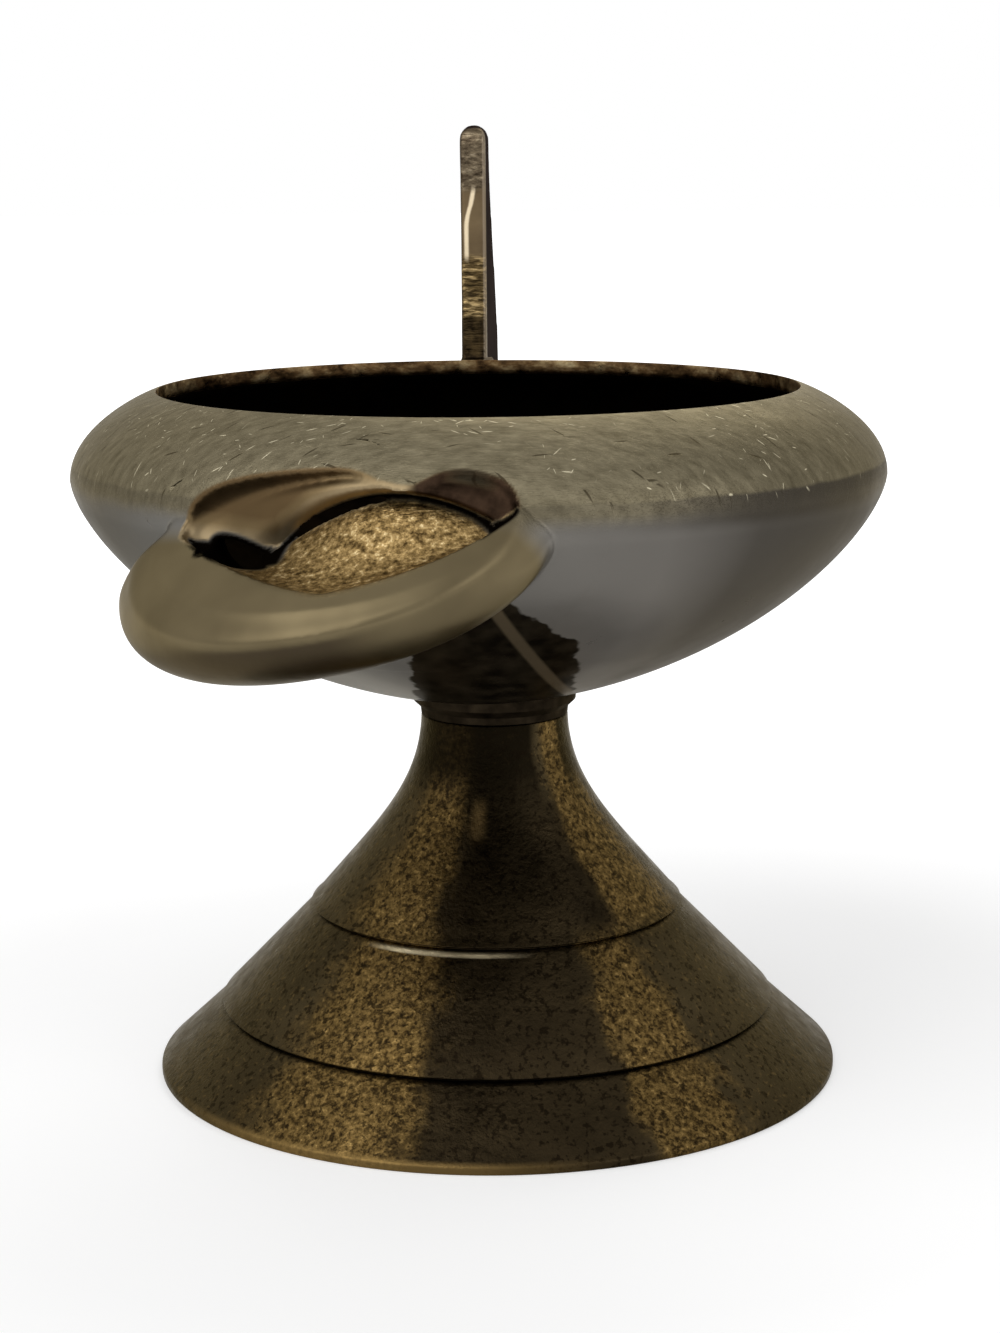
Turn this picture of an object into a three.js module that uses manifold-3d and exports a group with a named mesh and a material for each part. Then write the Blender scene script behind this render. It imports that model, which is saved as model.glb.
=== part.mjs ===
// A cast brass oil lamp on a trumpet foot, in millimetres, +Z up.
// The foot is turned and hollow. A round reservoir with an in-turned shoulder stands on its neck,
// held by a spigot that is peened over a washer inside the neck and by a ring of solder outside it.
// A thick-lipped wick nozzle is brazed over a hole in the reservoir's wall, and a blade handle is
// brazed on behind.
import * as THREE from "three";
import { mergeVertices } from "three/addons/utils/BufferGeometryUtils.js";
import Module from "manifold-3d";

const wasm = await Module();
wasm.setup();

// Foot
const FOOT_RADIUS = 42;
const FOOT_HEIGHT = 45.6;
const FOOT_WALL = 2.4;
const FOOT_EDGE = 0.9; // upright edge of the skirt above the table
const NECK_RADIUS = 9;
const NECK_DISC = 3; // closed top of the neck
const LINE_LOWER_Z = 8.2; // turned lines round the skirt
const LINE_UPPER_Z = 20.3;
const LINE_LOWER_RADIUS = 34.2;
const LINE_UPPER_RADIUS = 22.9;
const LINE_STEP = 0.4; // how proud the skirt stands below a line
const LINE_CUT = 0.5; // depth of the cut line itself
const LINE_FACE = 0.3; // height from the cut up to the skirt again
const FLARE_START_IN = 0.6; // from the upper line to where the skirt starts to sweep up to the neck
const FLARE_START_UP = 0.9;
const FLARE_PULL_IN = 8; // handles of that sweep
const FLARE_PULL_UP = 9.6;
const FLARE_NECK_PULL = 10.5;
const NECK_SWELL = 0.2;
const HOLLOW_PULL_IN = 10.6; // the same for the curve inside the foot
const HOLLOW_PULL_UP = 8;
const HOLLOW_NECK_PULL = 11.5;
const HOLLOW_INSET = 3.1;

// Reservoir
const BOWL_RADIUS = 49;
const BOWL_DEPTH = 28; // from the seat up to the widest ring
const SHOULDER_RISE = 10.2; // from the widest ring up to the rim
const MOUTH_RADIUS = 38.6;
const BOWL_WALL = 2.2;
const BOWL_OFFSET_X = -1.6; // the reservoir stands a little off the foot's axis
const BOSS_RADIUS = 8.2;
const LIP_HEIGHT = 1.65; // upright face of the rim
const UNDER_LIP = 0.9; // the shoulder's inside ends this far out from the mouth
const DISH_UP_POWER = 1.5; // superellipse powers of the underside
const DISH_OUT_POWER = 1.8;
const SHOULDER_UP_POWER = 2; // superellipse powers of the shoulder
const SHOULDER_OUT_POWER = 1.2;
const DISH_CROWDING = 1.5; // the underside's steps close up towards the axis by this power

// Joint between reservoir and foot
const SPIGOT_RADIUS = 4;
const WASHER_RADIUS = 6;
const WASHER_THICKNESS = 1.4;
const HEAD_RADIUS = 5.4;
const HEAD_HEIGHT = 1.8;
const HEAD_CHAMFER = 0.9;
const HEAD_FLAT_RADIUS = 3.2;
const SOLDER_WIDTH = 1.2; // rebate round the top of the neck, filled by the solder
const SOLDER_DROP = 1.5;
const SOLDER_SWELL = 0.15; // how far the ring's middle stands proud of the neck
const JOINT_GAP = 0.3; // between pieces that seat on each other

// Nozzle, in its own frame: out from the reservoir's axis, across to the right, and up from the
// widest ring
const NOZZLE_TURN = 17; // degrees from the front, towards the left
const MOUTH_REACH = 3; // middle of the mouth, beyond the widest ring
const MOUTH_UP = -0.7;
const MOUTH_TILT = 49; // degrees that the mouth looks up
const MOUTH_ROLL = 7; // degrees, left corner down
const MOUTH_HALF_WIDTH = 18.4;
const MOUTH_HALF_HEIGHT = 8.1;
const MOUTH_BOW = 6; // how far the corners of the mouth lie behind its middle
const MOUTH_TOP_POWER = 2.1; // superellipse powers of the mouth's upper and lower half
const MOUTH_BOTTOM_POWER = 1.5;
const BODY_ROLL = 12;
const BODY_TOP_POWER = 1.7;
const BODY_BOTTOM_POWER = 2.2;
const LIP_THICKNESS = 5.4; // below the mouth
const ROOF_THICKNESS = 1.6;
const LIP_SIDE = 4.6; // at the corners of the mouth
const BODY_SHIFT = -4.4; // the body hangs over to the left
const RIDGE_SHIFT = -3.5;
const FACE_SHIFT = -1.8;
const LIP_ROUND = 1.8; // how far the lip's face rounds back
const LIP_FACE_INSET = 2.3; // how much narrower the face is than the ridge behind it, on each side
const LIP_FACE_RAISE = 3.2;
const ROOF_FACE_DROP = 0.6;
const BELLY_INSET = 2.5; // the body's deepest ring, inside the widest ring
const BELLY_TILT = 29;
const BELLY_DROP = 4.6;
const BELLY_HALF_WIDTH = 25.4;
const BELLY_RISE = 6.5;
const BELLY_FALL = 12.2;
const BELLY_BOW = 4.2;
const ROOT_INSET = 12; // where the body starts, inside the reservoir's wall
const ROOT_HALF_WIDTH = 21;
const ROOT_RISE = 5;
const ROOT_FALL = 9;
const THROAT_INSET = 2.4; // slot through the reservoir's wall, which the funnel narrows to
const THROAT_SHIFT = 3.5;
const THROAT_UP = -2.3;
const THROAT_TILT = 12;
const THROAT_ROLL = 8;
const THROAT_HALF_WIDTH = 12.2;
const THROAT_HALF_HEIGHT = 0.8;
const THROAT_BOW = 1.6;
const THROAT_ARCH = 2.35; // how far the slot arches up in its middle
const THROAT_LENGTH = 6.6; // straight part of the slot, inwards
const WICK_HOLE_SHIFT = -7.9; // oval hole at the left end of the slot, which falls to the right
const WICK_HOLE_UP = -8.7;
const WICK_HOLE_ROLL = -22;
const WICK_HOLE_HALF_WIDTH = 5.2;
const WICK_HOLE_HALF_HEIGHT = 3.3;
const WICK_HOLE_REACH = 1.3; // its outer end, beyond the widest ring
const WICK_HOLE_LENGTH = 17.3;

// Handle
const HANDLE_THICKNESS = 3.4;
const HANDLE_OFFSET_X = -0.9; // beside the reservoir's axis
const HANDLE_HEIGHT = 31; // tip above the rim
const HANDLE_INSET = 6.5; // front edge, inside the widest ring
const HANDLE_DEPTH = 14; // front edge to the furthest point of the back edge
const HANDLE_TIP_RADIUS = 2.6;
const HANDLE_FOOT_DROP = 6; // how far the blade reaches below the widest ring
const HANDLE_TURN = 7; // degrees that the blade is turned from straight back
const HANDLE_BEVEL = 1;
const HANDLE_BOW = 1.4; // how far the front edge bows back
const HANDLE_BOW_AT = 0.55; // share of the height above the rim
const HANDLE_LEAN = 0.2; // how far its top leans back
const HANDLE_TOE = 2; // the foot of the front edge, in front of the rest
const HANDLE_HEEL = 4; // lowest point of the back edge, behind the front
const HANDLE_WAIST = 1.4; // slack of the back edge below the tip
const HANDLE_WAIST_AT = 0.55;
const HANDLE_HIP_AT = 0.25;
const HANDLE_HIP_DROP = 2; // below the rim, where the back edge stands furthest out

const BRAZE_WIDTH = 1.4;
const BRAZE_BELOW_RIM = 1.6;
const BRAZE_BELOW_MOUTH = 3; // the nozzle's bead ends below the mouth's corners

const HAIR = 0.01; // how near to a cut plane an outline's own point is left out

// How finely round shapes are cut
const TURNED_SIDES = 60;
const DISH_STEPS = 11;
const SHOULDER_STEPS = 6;
const FLARE_STEPS = 8;
const NOZZLE_SIDES = 40;
const NOZZLE_STEPS = 3;

// Heights that follow from the sizes above
const seatZ = FOOT_HEIGHT + JOINT_GAP;
const girthZ = seatZ + BOWL_DEPTH;
const rimZ = girthZ + SHOULDER_RISE;
const handleFront = BOWL_RADIUS - HANDLE_INSET;

const brass = (name, color, roughness) =>
  new THREE.MeshStandardMaterial({ name, color, roughness, metalness: 0.9 });
const materials = {
  foot: brass("dark_brass", 0x57492f, 0.42),
  bowl: brass("grey_brass", 0x7b7666, 0.4),
  nozzle: brass("rubbed_brass", 0x86795a, 0.35),
  handle: brass("brown_brass", 0x5d4c33, 0.45),
  joint: brass("braze", 0x6d6552, 0.55),
};

// Superellipse from radius `wide` at level 0 to radius `narrow` at level `height`.
const bulge = (level, height, wide, narrow, up, out) =>
  narrow +
  (wide - narrow) * Math.pow(Math.max(0, 1 - Math.pow(level / height, up)), 1 / out);

// Level at which the same superellipse has the radius `radius`.
const levelAt = (radius, height, wide, up, out) =>
  height * Math.pow(Math.max(0, 1 - Math.pow(radius / wide, out)), 1 / up);

// The reservoir's section from its underside to its rim, grown outwards by `grow`.
function bowlSection(grow, innerRadius) {
  const wide = BOWL_RADIUS + grow;
  const depth = BOWL_DEPTH + grow;
  const points = [];
  const deepest = levelAt(innerRadius, depth, wide, DISH_UP_POWER, DISH_OUT_POWER);
  for (let i = 0; i < DISH_STEPS; i++) {
    const level = deepest * (1 - Math.pow(i / DISH_STEPS, DISH_CROWDING));
    const radius = bulge(level, depth, wide, 0, DISH_UP_POWER, DISH_OUT_POWER);
    points.push(new THREE.Vector2(radius, girthZ - level));
  }
  const rise = SHOULDER_RISE + grow;
  for (let i = 0; i <= SHOULDER_STEPS; i++) {
    const level = rise * Math.sin(((i / SHOULDER_STEPS) * Math.PI) / 2);
    const radius = bulge(level, rise, wide, MOUTH_RADIUS, SHOULDER_UP_POWER, SHOULDER_OUT_POWER);
    points.push(new THREE.Vector2(radius, girthZ + level));
  }
  return points;
}

const turned = (points) => new THREE.LatheGeometry(points, TURNED_SIDES).rotateX(Math.PI / 2);

// Closed solid of a geometry, turned right side out.
const WELD = 1e-4;
function solid(geometry) {
  const bare = geometry.clone();
  bare.deleteAttribute("normal");
  bare.deleteAttribute("uv");
  const merged = mergeVertices(bare, WELD);
  const build = (triangles) =>
    new wasm.Manifold(
      new wasm.Mesh({
        numProp: 3,
        vertProperties: merged.attributes.position.array,
        triVerts: new Uint32Array(triangles),
      }),
    );
  const triangles = Array.from(merged.index.array);
  const made = build(triangles);
  return made.volume() > 0 ? made : build(triangles.reverse());
}

function geometryOf(made) {
  const { numProp, numVert, vertProperties, triVerts } = made.getMesh();
  const corners = new Float32Array(numVert * 3);
  for (let i = 0; i < numVert; i++)
    corners.set(vertProperties.subarray(i * numProp, i * numProp + 3), i * 3);
  return new THREE.BufferGeometry()
    .setAttribute("position", new THREE.BufferAttribute(corners, 3))
    .setIndex(new THREE.BufferAttribute(triVerts, 1));
}

// Solid through a row of closed rings with equal numbers of points, capped at both ends.
function loft(rings) {
  const sides = rings[0].length;
  const corners = rings.flat();
  const faces = [];
  for (let i = 0; i + 1 < rings.length; i++)
    for (let j = 0; j < sides; j++) {
      const a = i * sides + j;
      const b = i * sides + ((j + 1) % sides);
      faces.push(a, b, b + sides, a, b + sides, a + sides);
    }
  const cap = (start, reversed) => {
    const middle = corners.length;
    const sum = new THREE.Vector3();
    for (let j = 0; j < sides; j++) sum.add(corners[start + j]);
    corners.push(sum.divideScalar(sides));
    for (let j = 0; j < sides; j++) {
      const pair = [start + j, start + ((j + 1) % sides)];
      faces.push(middle, ...(reversed ? pair.reverse() : pair));
    }
  };
  cap(0, true);
  cap((rings.length - 1) * sides, false);
  return new THREE.BufferGeometry().setFromPoints(corners).setIndex(faces);
}

// Foot: a trumpet whose straight skirt carries two turned lines and whose neck closes in a disc.
function footGeometry() {
  const slope = (FOOT_RADIUS - LINE_LOWER_RADIUS) / (LINE_LOWER_Z - FOOT_EDGE);
  const line = (radius, z) => [
    new THREE.Vector2(radius + LINE_STEP, z - LINE_CUT),
    new THREE.Vector2(radius - LINE_CUT, z),
    new THREE.Vector2(radius + slope * (LINE_CUT - LINE_STEP), z + LINE_FACE),
  ];
  const solderZ = FOOT_HEIGHT - SOLDER_DROP;
  const flare = new THREE.CubicBezierCurve(
    new THREE.Vector2(LINE_UPPER_RADIUS - FLARE_START_IN, LINE_UPPER_Z + FLARE_START_UP),
    new THREE.Vector2(LINE_UPPER_RADIUS - FLARE_PULL_IN, LINE_UPPER_Z + FLARE_PULL_UP),
    new THREE.Vector2(NECK_RADIUS + NECK_SWELL, FOOT_HEIGHT - FLARE_NECK_PULL),
    new THREE.Vector2(NECK_RADIUS, solderZ),
  );
  const outside = [
    new THREE.Vector2(FOOT_RADIUS, 0),
    new THREE.Vector2(FOOT_RADIUS, FOOT_EDGE),
    ...line(LINE_LOWER_RADIUS, LINE_LOWER_Z),
    ...line(LINE_UPPER_RADIUS, LINE_UPPER_Z),
    ...flare.getPoints(FLARE_STEPS),
  ];
  const discZ = FOOT_HEIGHT - NECK_DISC;
  const hollowRadius = NECK_RADIUS - FOOT_WALL;
  const inside = new THREE.CubicBezierCurve(
    new THREE.Vector2(hollowRadius, discZ),
    new THREE.Vector2(hollowRadius + NECK_SWELL, FOOT_HEIGHT - HOLLOW_NECK_PULL),
    new THREE.Vector2(LINE_UPPER_RADIUS - HOLLOW_PULL_IN, LINE_UPPER_Z + HOLLOW_PULL_UP),
    new THREE.Vector2(LINE_UPPER_RADIUS - HOLLOW_INSET, LINE_UPPER_Z - LINE_CUT),
  );
  return turned([
    ...outside,
    new THREE.Vector2(NECK_RADIUS - SOLDER_WIDTH, solderZ),
    new THREE.Vector2(NECK_RADIUS - SOLDER_WIDTH, FOOT_HEIGHT),
    new THREE.Vector2(SPIGOT_RADIUS + JOINT_GAP, FOOT_HEIGHT),
    new THREE.Vector2(SPIGOT_RADIUS + JOINT_GAP, discZ),
    ...inside.getPoints(FLARE_STEPS - 2),
    new THREE.Vector2(FOOT_RADIUS - FOOT_WALL, 0),
    new THREE.Vector2(FOOT_RADIUS, 0),
  ]);
}

const washerTop = FOOT_HEIGHT - NECK_DISC - JOINT_GAP;
const headTop = washerTop - WASHER_THICKNESS - JOINT_GAP;

// Reservoir: a deep dish with an in-turned shoulder and a flat boss underneath.
function bowlGeometry() {
  const inner = bowlSection(-BOWL_WALL, 0).reverse();
  // The inside of the shoulder ends below the rim, so that the rim keeps the wall's thickness.
  const lip = new THREE.Vector2(MOUTH_RADIUS, rimZ - LIP_HEIGHT);
  const under = inner.filter((p) => p.x > MOUTH_RADIUS + UNDER_LIP || p.y < girthZ);
  return turned([
    new THREE.Vector2(0, seatZ),
    new THREE.Vector2(BOSS_RADIUS, seatZ),
    ...bowlSection(0, BOSS_RADIUS),
    lip,
    ...under,
    new THREE.Vector2(0, under.at(-1).y),
  ]).translate(BOWL_OFFSET_X, 0, 0);
}

// Spigot under the reservoir, on the foot's axis, peened to a head below the washer.
function spigotGeometry() {
  return turned([
    new THREE.Vector2(0, headTop - HEAD_HEIGHT),
    new THREE.Vector2(HEAD_FLAT_RADIUS, headTop - HEAD_HEIGHT),
    new THREE.Vector2(HEAD_RADIUS, headTop - HEAD_HEIGHT + HEAD_CHAMFER),
    new THREE.Vector2(HEAD_RADIUS, headTop),
    new THREE.Vector2(SPIGOT_RADIUS, headTop),
    new THREE.Vector2(SPIGOT_RADIUS, seatZ + BOWL_WALL / 2),
    new THREE.Vector2(0, seatZ + BOWL_WALL / 2),
  ]);
}

function washerGeometry() {
  const bore = SPIGOT_RADIUS + JOINT_GAP;
  return turned([
    new THREE.Vector2(bore, washerTop - WASHER_THICKNESS),
    new THREE.Vector2(WASHER_RADIUS, washerTop - WASHER_THICKNESS),
    new THREE.Vector2(WASHER_RADIUS, washerTop),
    new THREE.Vector2(bore, washerTop),
    new THREE.Vector2(bore, washerTop - WASHER_THICKNESS),
  ]);
}

// Solder: a ring in the rebate round the top of the neck, flush with the neck.
function solderGeometry() {
  const inner = NECK_RADIUS - SOLDER_WIDTH + JOINT_GAP;
  const foot = FOOT_HEIGHT - SOLDER_DROP + JOINT_GAP;
  return turned([
    new THREE.Vector2(inner, foot),
    new THREE.Vector2(NECK_RADIUS, foot),
    new THREE.Vector2(NECK_RADIUS + SOLDER_SWELL, (foot + FOOT_HEIGHT) / 2),
    new THREE.Vector2(NECK_RADIUS, FOOT_HEIGHT),
    new THREE.Vector2(inner, FOOT_HEIGHT),
    new THREE.Vector2(inner, foot),
  ]);
}

// The nozzle's frame: x out, y across, z up, with its origin in the plane of the widest ring.
const nozzleFrame = new THREE.Matrix4()
  .makeTranslation(BOWL_OFFSET_X, 0, girthZ)
  .multiply(new THREE.Matrix4().makeRotationZ(THREE.MathUtils.degToRad(-90 - NOZZLE_TURN)));

// One ring of the nozzle: a superellipse that leans back by `tilt`, rolls to the left by `roll`,
// bows back towards its ends by `bow` and arches up in its middle by `arch`. `top` and `bottom` are
// the powers of its two halves.
const STATION =
  ["out", "shift", "up", "tilt", "roll", "half", "rise", "fall", "bow", "arch", "top", "bottom"];
function nozzleRing(values) {
  const at = Object.fromEntries(STATION.map((key, i) => [key, values[i]]));
  const lean = THREE.MathUtils.degToRad(at.tilt);
  const roll = new THREE.Matrix4().makeRotationX(THREE.MathUtils.degToRad(at.roll));
  return Array.from({ length: NOZZLE_SIDES }, (_, i) => {
    const angle = (2 * Math.PI * i) / NOZZLE_SIDES;
    const c = Math.cos(angle);
    const s = Math.sin(angle);
    const power = 2 / (s > 0 ? at.top : at.bottom);
    const wide = Math.sign(c) * Math.pow(Math.abs(c), power);
    const high = (s > 0 ? at.rise : at.fall) * Math.sign(s) * Math.pow(Math.abs(s), power);
    return new THREE.Vector3(
      at.out - high * Math.sin(lean) - at.bow * wide * wide,
      at.shift + at.half * wide,
      at.up + high * Math.cos(lean) + at.arch * (1 - wide * wide),
    )
      .applyMatrix4(roll)
      .applyMatrix4(nozzleFrame);
  });
}

// Smooth loft through a few stations.
function nozzleLoft(stations) {
  const rows = stations.map((station) => STATION.map((key) => station[key]));
  const between = new THREE.CubicInterpolant(
    rows.map((_, i) => i),
    rows.flat(),
    STATION.length,
    new Float32Array(STATION.length),
  );
  const rings = [];
  for (let i = 0; i <= (rows.length - 1) * NOZZLE_STEPS; i++)
    rings.push(nozzleRing([...between.evaluate(i / NOZZLE_STEPS)]));
  return solid(loft(rings));
}

const ELLIPSE = 2; // a superellipse of this power is a plain ellipse

const lean = THREE.MathUtils.degToRad(MOUTH_TILT);
const alongMouthAxis = (station, distance) => ({
  ...station,
  out: station.out + distance * Math.cos(lean),
  up: station.up + distance * Math.sin(lean),
});

const mouthStation = {
  out: BOWL_RADIUS + MOUTH_REACH,
  shift: 0,
  up: MOUTH_UP,
  tilt: MOUTH_TILT,
  roll: MOUTH_ROLL,
  half: MOUTH_HALF_WIDTH,
  rise: MOUTH_HALF_HEIGHT,
  fall: MOUTH_HALF_HEIGHT,
  bow: MOUTH_BOW,
  arch: 0,
  top: MOUTH_TOP_POWER,
  bottom: MOUTH_BOTTOM_POWER,
};

// The nozzle's body: from its root inside the wall, round its belly, to the thick lip.
function nozzleBody(grow, forward = grow) {
  const root = {
    out: BOWL_RADIUS - ROOT_INSET - grow,
    shift: BODY_SHIFT,
    up: -BELLY_DROP,
    tilt: 0,
    roll: BODY_ROLL,
    half: ROOT_HALF_WIDTH + grow,
    rise: ROOT_RISE + grow,
    fall: ROOT_FALL + grow,
    bow: 0,
    arch: 0,
    top: BODY_TOP_POWER,
    bottom: BODY_BOTTOM_POWER,
  };
  const belly = {
    ...root,
    out: BOWL_RADIUS - BELLY_INSET,
    tilt: BELLY_TILT,
    half: BELLY_HALF_WIDTH + grow,
    rise: BELLY_RISE + grow,
    fall: BELLY_FALL + grow,
    bow: BELLY_BOW,
  };
  const ridge = {
    ...alongMouthAxis(mouthStation, -LIP_ROUND),
    shift: RIDGE_SHIFT,
    roll: (MOUTH_ROLL + BODY_ROLL) / 2,
    half: MOUTH_HALF_WIDTH + LIP_SIDE + grow,
    rise: MOUTH_HALF_HEIGHT + ROOF_THICKNESS + grow,
    fall: MOUTH_HALF_HEIGHT + LIP_THICKNESS + grow,
    top: BODY_TOP_POWER,
    bottom: BODY_BOTTOM_POWER,
  };
  const face = {
    ...alongMouthAxis(ridge, LIP_ROUND + forward),
    shift: FACE_SHIFT,
    roll: MOUTH_ROLL,
    half: ridge.half - LIP_FACE_INSET,
    rise: ridge.rise - ROOF_FACE_DROP,
    fall: ridge.fall - LIP_FACE_RAISE,
  };
  return nozzleLoft([root, belly, ridge, face]);
}

// The mouth's hollow: a funnel that narrows to an arched slot through the reservoir's wall, and the
// wick's own hole beside the slot.
function nozzleBore() {
  const throat = {
    ...mouthStation,
    out: BOWL_RADIUS - THROAT_INSET,
    shift: THROAT_SHIFT,
    up: THROAT_UP,
    tilt: THROAT_TILT,
    roll: THROAT_ROLL,
    half: THROAT_HALF_WIDTH,
    rise: THROAT_HALF_HEIGHT,
    fall: THROAT_HALF_HEIGHT,
    bow: THROAT_BOW,
    arch: THROAT_ARCH,
    top: ELLIPSE,
    bottom: ELLIPSE,
  };
  const hole = {
    ...throat,
    out: BOWL_RADIUS + WICK_HOLE_REACH,
    shift: WICK_HOLE_SHIFT,
    up: WICK_HOLE_UP,
    tilt: 0,
    roll: WICK_HOLE_ROLL,
    half: WICK_HOLE_HALF_WIDTH,
    rise: WICK_HOLE_HALF_HEIGHT,
    fall: WICK_HOLE_HALF_HEIGHT,
    bow: 0,
    arch: 0,
  };
  return nozzleLoft([
    { ...throat, out: throat.out - THROAT_LENGTH },
    throat,
    mouthStation,
    alongMouthAxis(mouthStation, MOUTH_HALF_HEIGHT),
  ]).add(nozzleLoft([{ ...hole, out: hole.out - WICK_HOLE_LENGTH }, hole]));
}

// The blade's outline, seen from its side: y is the distance behind the reservoir's axis.
function handleOutline(grow) {
  const tipZ = rimZ + HANDLE_HEIGHT;
  const tip = HANDLE_TIP_RADIUS + grow;
  const front = handleFront - grow;
  const back = handleFront + HANDLE_DEPTH + grow;
  const footZ = girthZ - HANDLE_FOOT_DROP - grow;
  const shape = new THREE.Shape();
  shape.moveTo(front - HANDLE_TOE, footZ);
  shape.lineTo(front, rimZ - HANDLE_BEVEL);
  shape.quadraticCurveTo(
    front + HANDLE_BOW,
    rimZ + HANDLE_HEIGHT * HANDLE_BOW_AT,
    front + HANDLE_LEAN,
    tipZ - tip + grow,
  );
  shape.absarc(front + HANDLE_LEAN + tip, tipZ - tip + grow, tip, Math.PI, 0, true);
  shape.bezierCurveTo(
    front + 2 * tip + HANDLE_WAIST,
    rimZ + HANDLE_HEIGHT * HANDLE_WAIST_AT,
    back,
    rimZ + HANDLE_HEIGHT * HANDLE_HIP_AT,
    back,
    rimZ - HANDLE_HIP_DROP,
  );
  shape.quadraticCurveTo(back, girthZ - HANDLE_HIP_DROP - grow, front + HANDLE_HEEL, footZ);
  shape.closePath();
  return shape;
}

function handleBody(grow) {
  const depth = HANDLE_THICKNESS + 2 * grow - 2 * HANDLE_BEVEL;
  const blade = new THREE.ExtrudeGeometry(handleOutline(grow - HANDLE_BEVEL), {
    depth,
    bevelEnabled: true,
    bevelSize: HANDLE_BEVEL,
    bevelThickness: HANDLE_BEVEL,
    bevelSegments: 2,
    curveSegments: 8,
  });
  // The outline's x runs backwards along +Y, its y runs up, and the thickness runs across.
  const stand = new THREE.Matrix4().makeBasis(
    new THREE.Vector3(0, 1, 0),
    new THREE.Vector3(0, 0, 1),
    new THREE.Vector3(1, 0, 0),
  );
  return solid(
    blade
      .translate(0, 0, -depth / 2)
      .applyMatrix4(stand)
      .translate(0, -handleFront, 0)
      .rotateZ(THREE.MathUtils.degToRad(-HANDLE_TURN))
      .translate(BOWL_OFFSET_X + HANDLE_OFFSET_X, handleFront, 0),
  );
}

// The reservoir's outer form as one closed solid, grown by `grow`, with a flat top `above` the rim.
const bowlEnvelope = (grow, above = grow) =>
  solid(
    turned([
      new THREE.Vector2(0, seatZ - grow),
      ...bowlSection(grow, BOSS_RADIUS).filter((p) => p.y < rimZ + above - HAIR),
      new THREE.Vector2(MOUTH_RADIUS, rimZ + above),
      new THREE.Vector2(0, rimZ + above),
    ]).translate(BOWL_OFFSET_X, 0, 0),
  );

// Braze: a bead round a piece's root, on the reservoir's wall and below its rim.
const bead = (grown, piece) =>
  grown
    .intersect(bowlEnvelope(JOINT_GAP + BRAZE_WIDTH, -BRAZE_BELOW_RIM))
    .subtract(piece)
    .subtract(bowlEnvelope(JOINT_GAP));

const largest = (made) =>
  made.decompose().reduce((a, b) => (a.volume() > b.volume() ? a : b));

const bore = nozzleBore();
const bowlSolid = solid(bowlGeometry())
  .add(solid(spigotGeometry()))
  .subtract(bore);
const nozzleSolid = largest(nozzleBody(0).subtract(bore).subtract(bowlEnvelope(JOINT_GAP)));
const handleSolid = largest(handleBody(0).subtract(bowlEnvelope(JOINT_GAP)));
const nozzleBraze = largest(
  bead(nozzleBody(BRAZE_WIDTH, 0), nozzleBody(JOINT_GAP))
    .subtract(bore)
    .trimByPlane([0, 0, -1], BRAZE_BELOW_MOUTH - girthZ),
);
const handleBraze = largest(bead(handleBody(BRAZE_WIDTH), handleBody(JOINT_GAP)));

const lamp = new THREE.Group();
function add(name, geometry, material) {
  const mesh = new THREE.Mesh(geometry, material);
  mesh.name = name;
  lamp.add(mesh);
}
add("foot", footGeometry(), materials.foot);
add("neck_solder", solderGeometry(), materials.joint);
add("spigot_washer", washerGeometry(), materials.joint);
add("bowl", geometryOf(bowlSolid), materials.bowl);
add("nozzle", geometryOf(nozzleSolid), materials.nozzle);
add("nozzle_braze", geometryOf(nozzleBraze), materials.joint);
add("handle", geometryOf(handleSolid), materials.handle);
add("handle_braze", geometryOf(handleBraze), materials.joint);

// The origin lies on the table, under the middle of the whole lamp.
const box = new THREE.Box3().setFromObject(lamp);
const middle = box.getCenter(new THREE.Vector3());
lamp.position.set(-middle.x, -middle.y, 0);

export default lamp;
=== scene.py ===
# %% [markdown]
# # An old brass oil lamp
# A lamp of this kind is four castings: a hollow trumpet foot, a round reservoir, a broad nozzle for the
# wick and a blade to hold it by. The measured solids come in first. They stay where they are, and every
# finer piece below is made round them, in metres and in the same frame.

import math

import bmesh
import bpy
from mathutils import Matrix, Vector
from mathutils.bvhtree import BVHTree
from mathutils.kdtree import KDTree


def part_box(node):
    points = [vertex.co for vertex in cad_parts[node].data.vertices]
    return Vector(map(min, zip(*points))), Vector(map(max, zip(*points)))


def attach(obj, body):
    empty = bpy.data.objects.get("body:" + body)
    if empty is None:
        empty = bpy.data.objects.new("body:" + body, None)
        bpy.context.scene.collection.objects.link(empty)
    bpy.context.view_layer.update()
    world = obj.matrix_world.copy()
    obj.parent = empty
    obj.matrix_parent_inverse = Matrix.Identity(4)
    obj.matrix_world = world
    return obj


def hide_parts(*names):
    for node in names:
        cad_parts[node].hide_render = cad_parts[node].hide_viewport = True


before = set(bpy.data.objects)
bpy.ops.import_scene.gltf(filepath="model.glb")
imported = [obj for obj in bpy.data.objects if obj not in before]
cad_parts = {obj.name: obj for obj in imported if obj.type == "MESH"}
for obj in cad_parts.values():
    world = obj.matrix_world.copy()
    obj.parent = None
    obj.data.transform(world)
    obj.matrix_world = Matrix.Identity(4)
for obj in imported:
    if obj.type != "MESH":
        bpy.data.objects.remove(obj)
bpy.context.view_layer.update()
print("solids:", sorted(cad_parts))

# %% [markdown]
# ## Sizes
# The round pieces share two upright axes: the foot's, and the reservoir's, which stands a little to one
# side. Both come from the boxes of the measured solids, and the heights of the joints do too.

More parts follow.
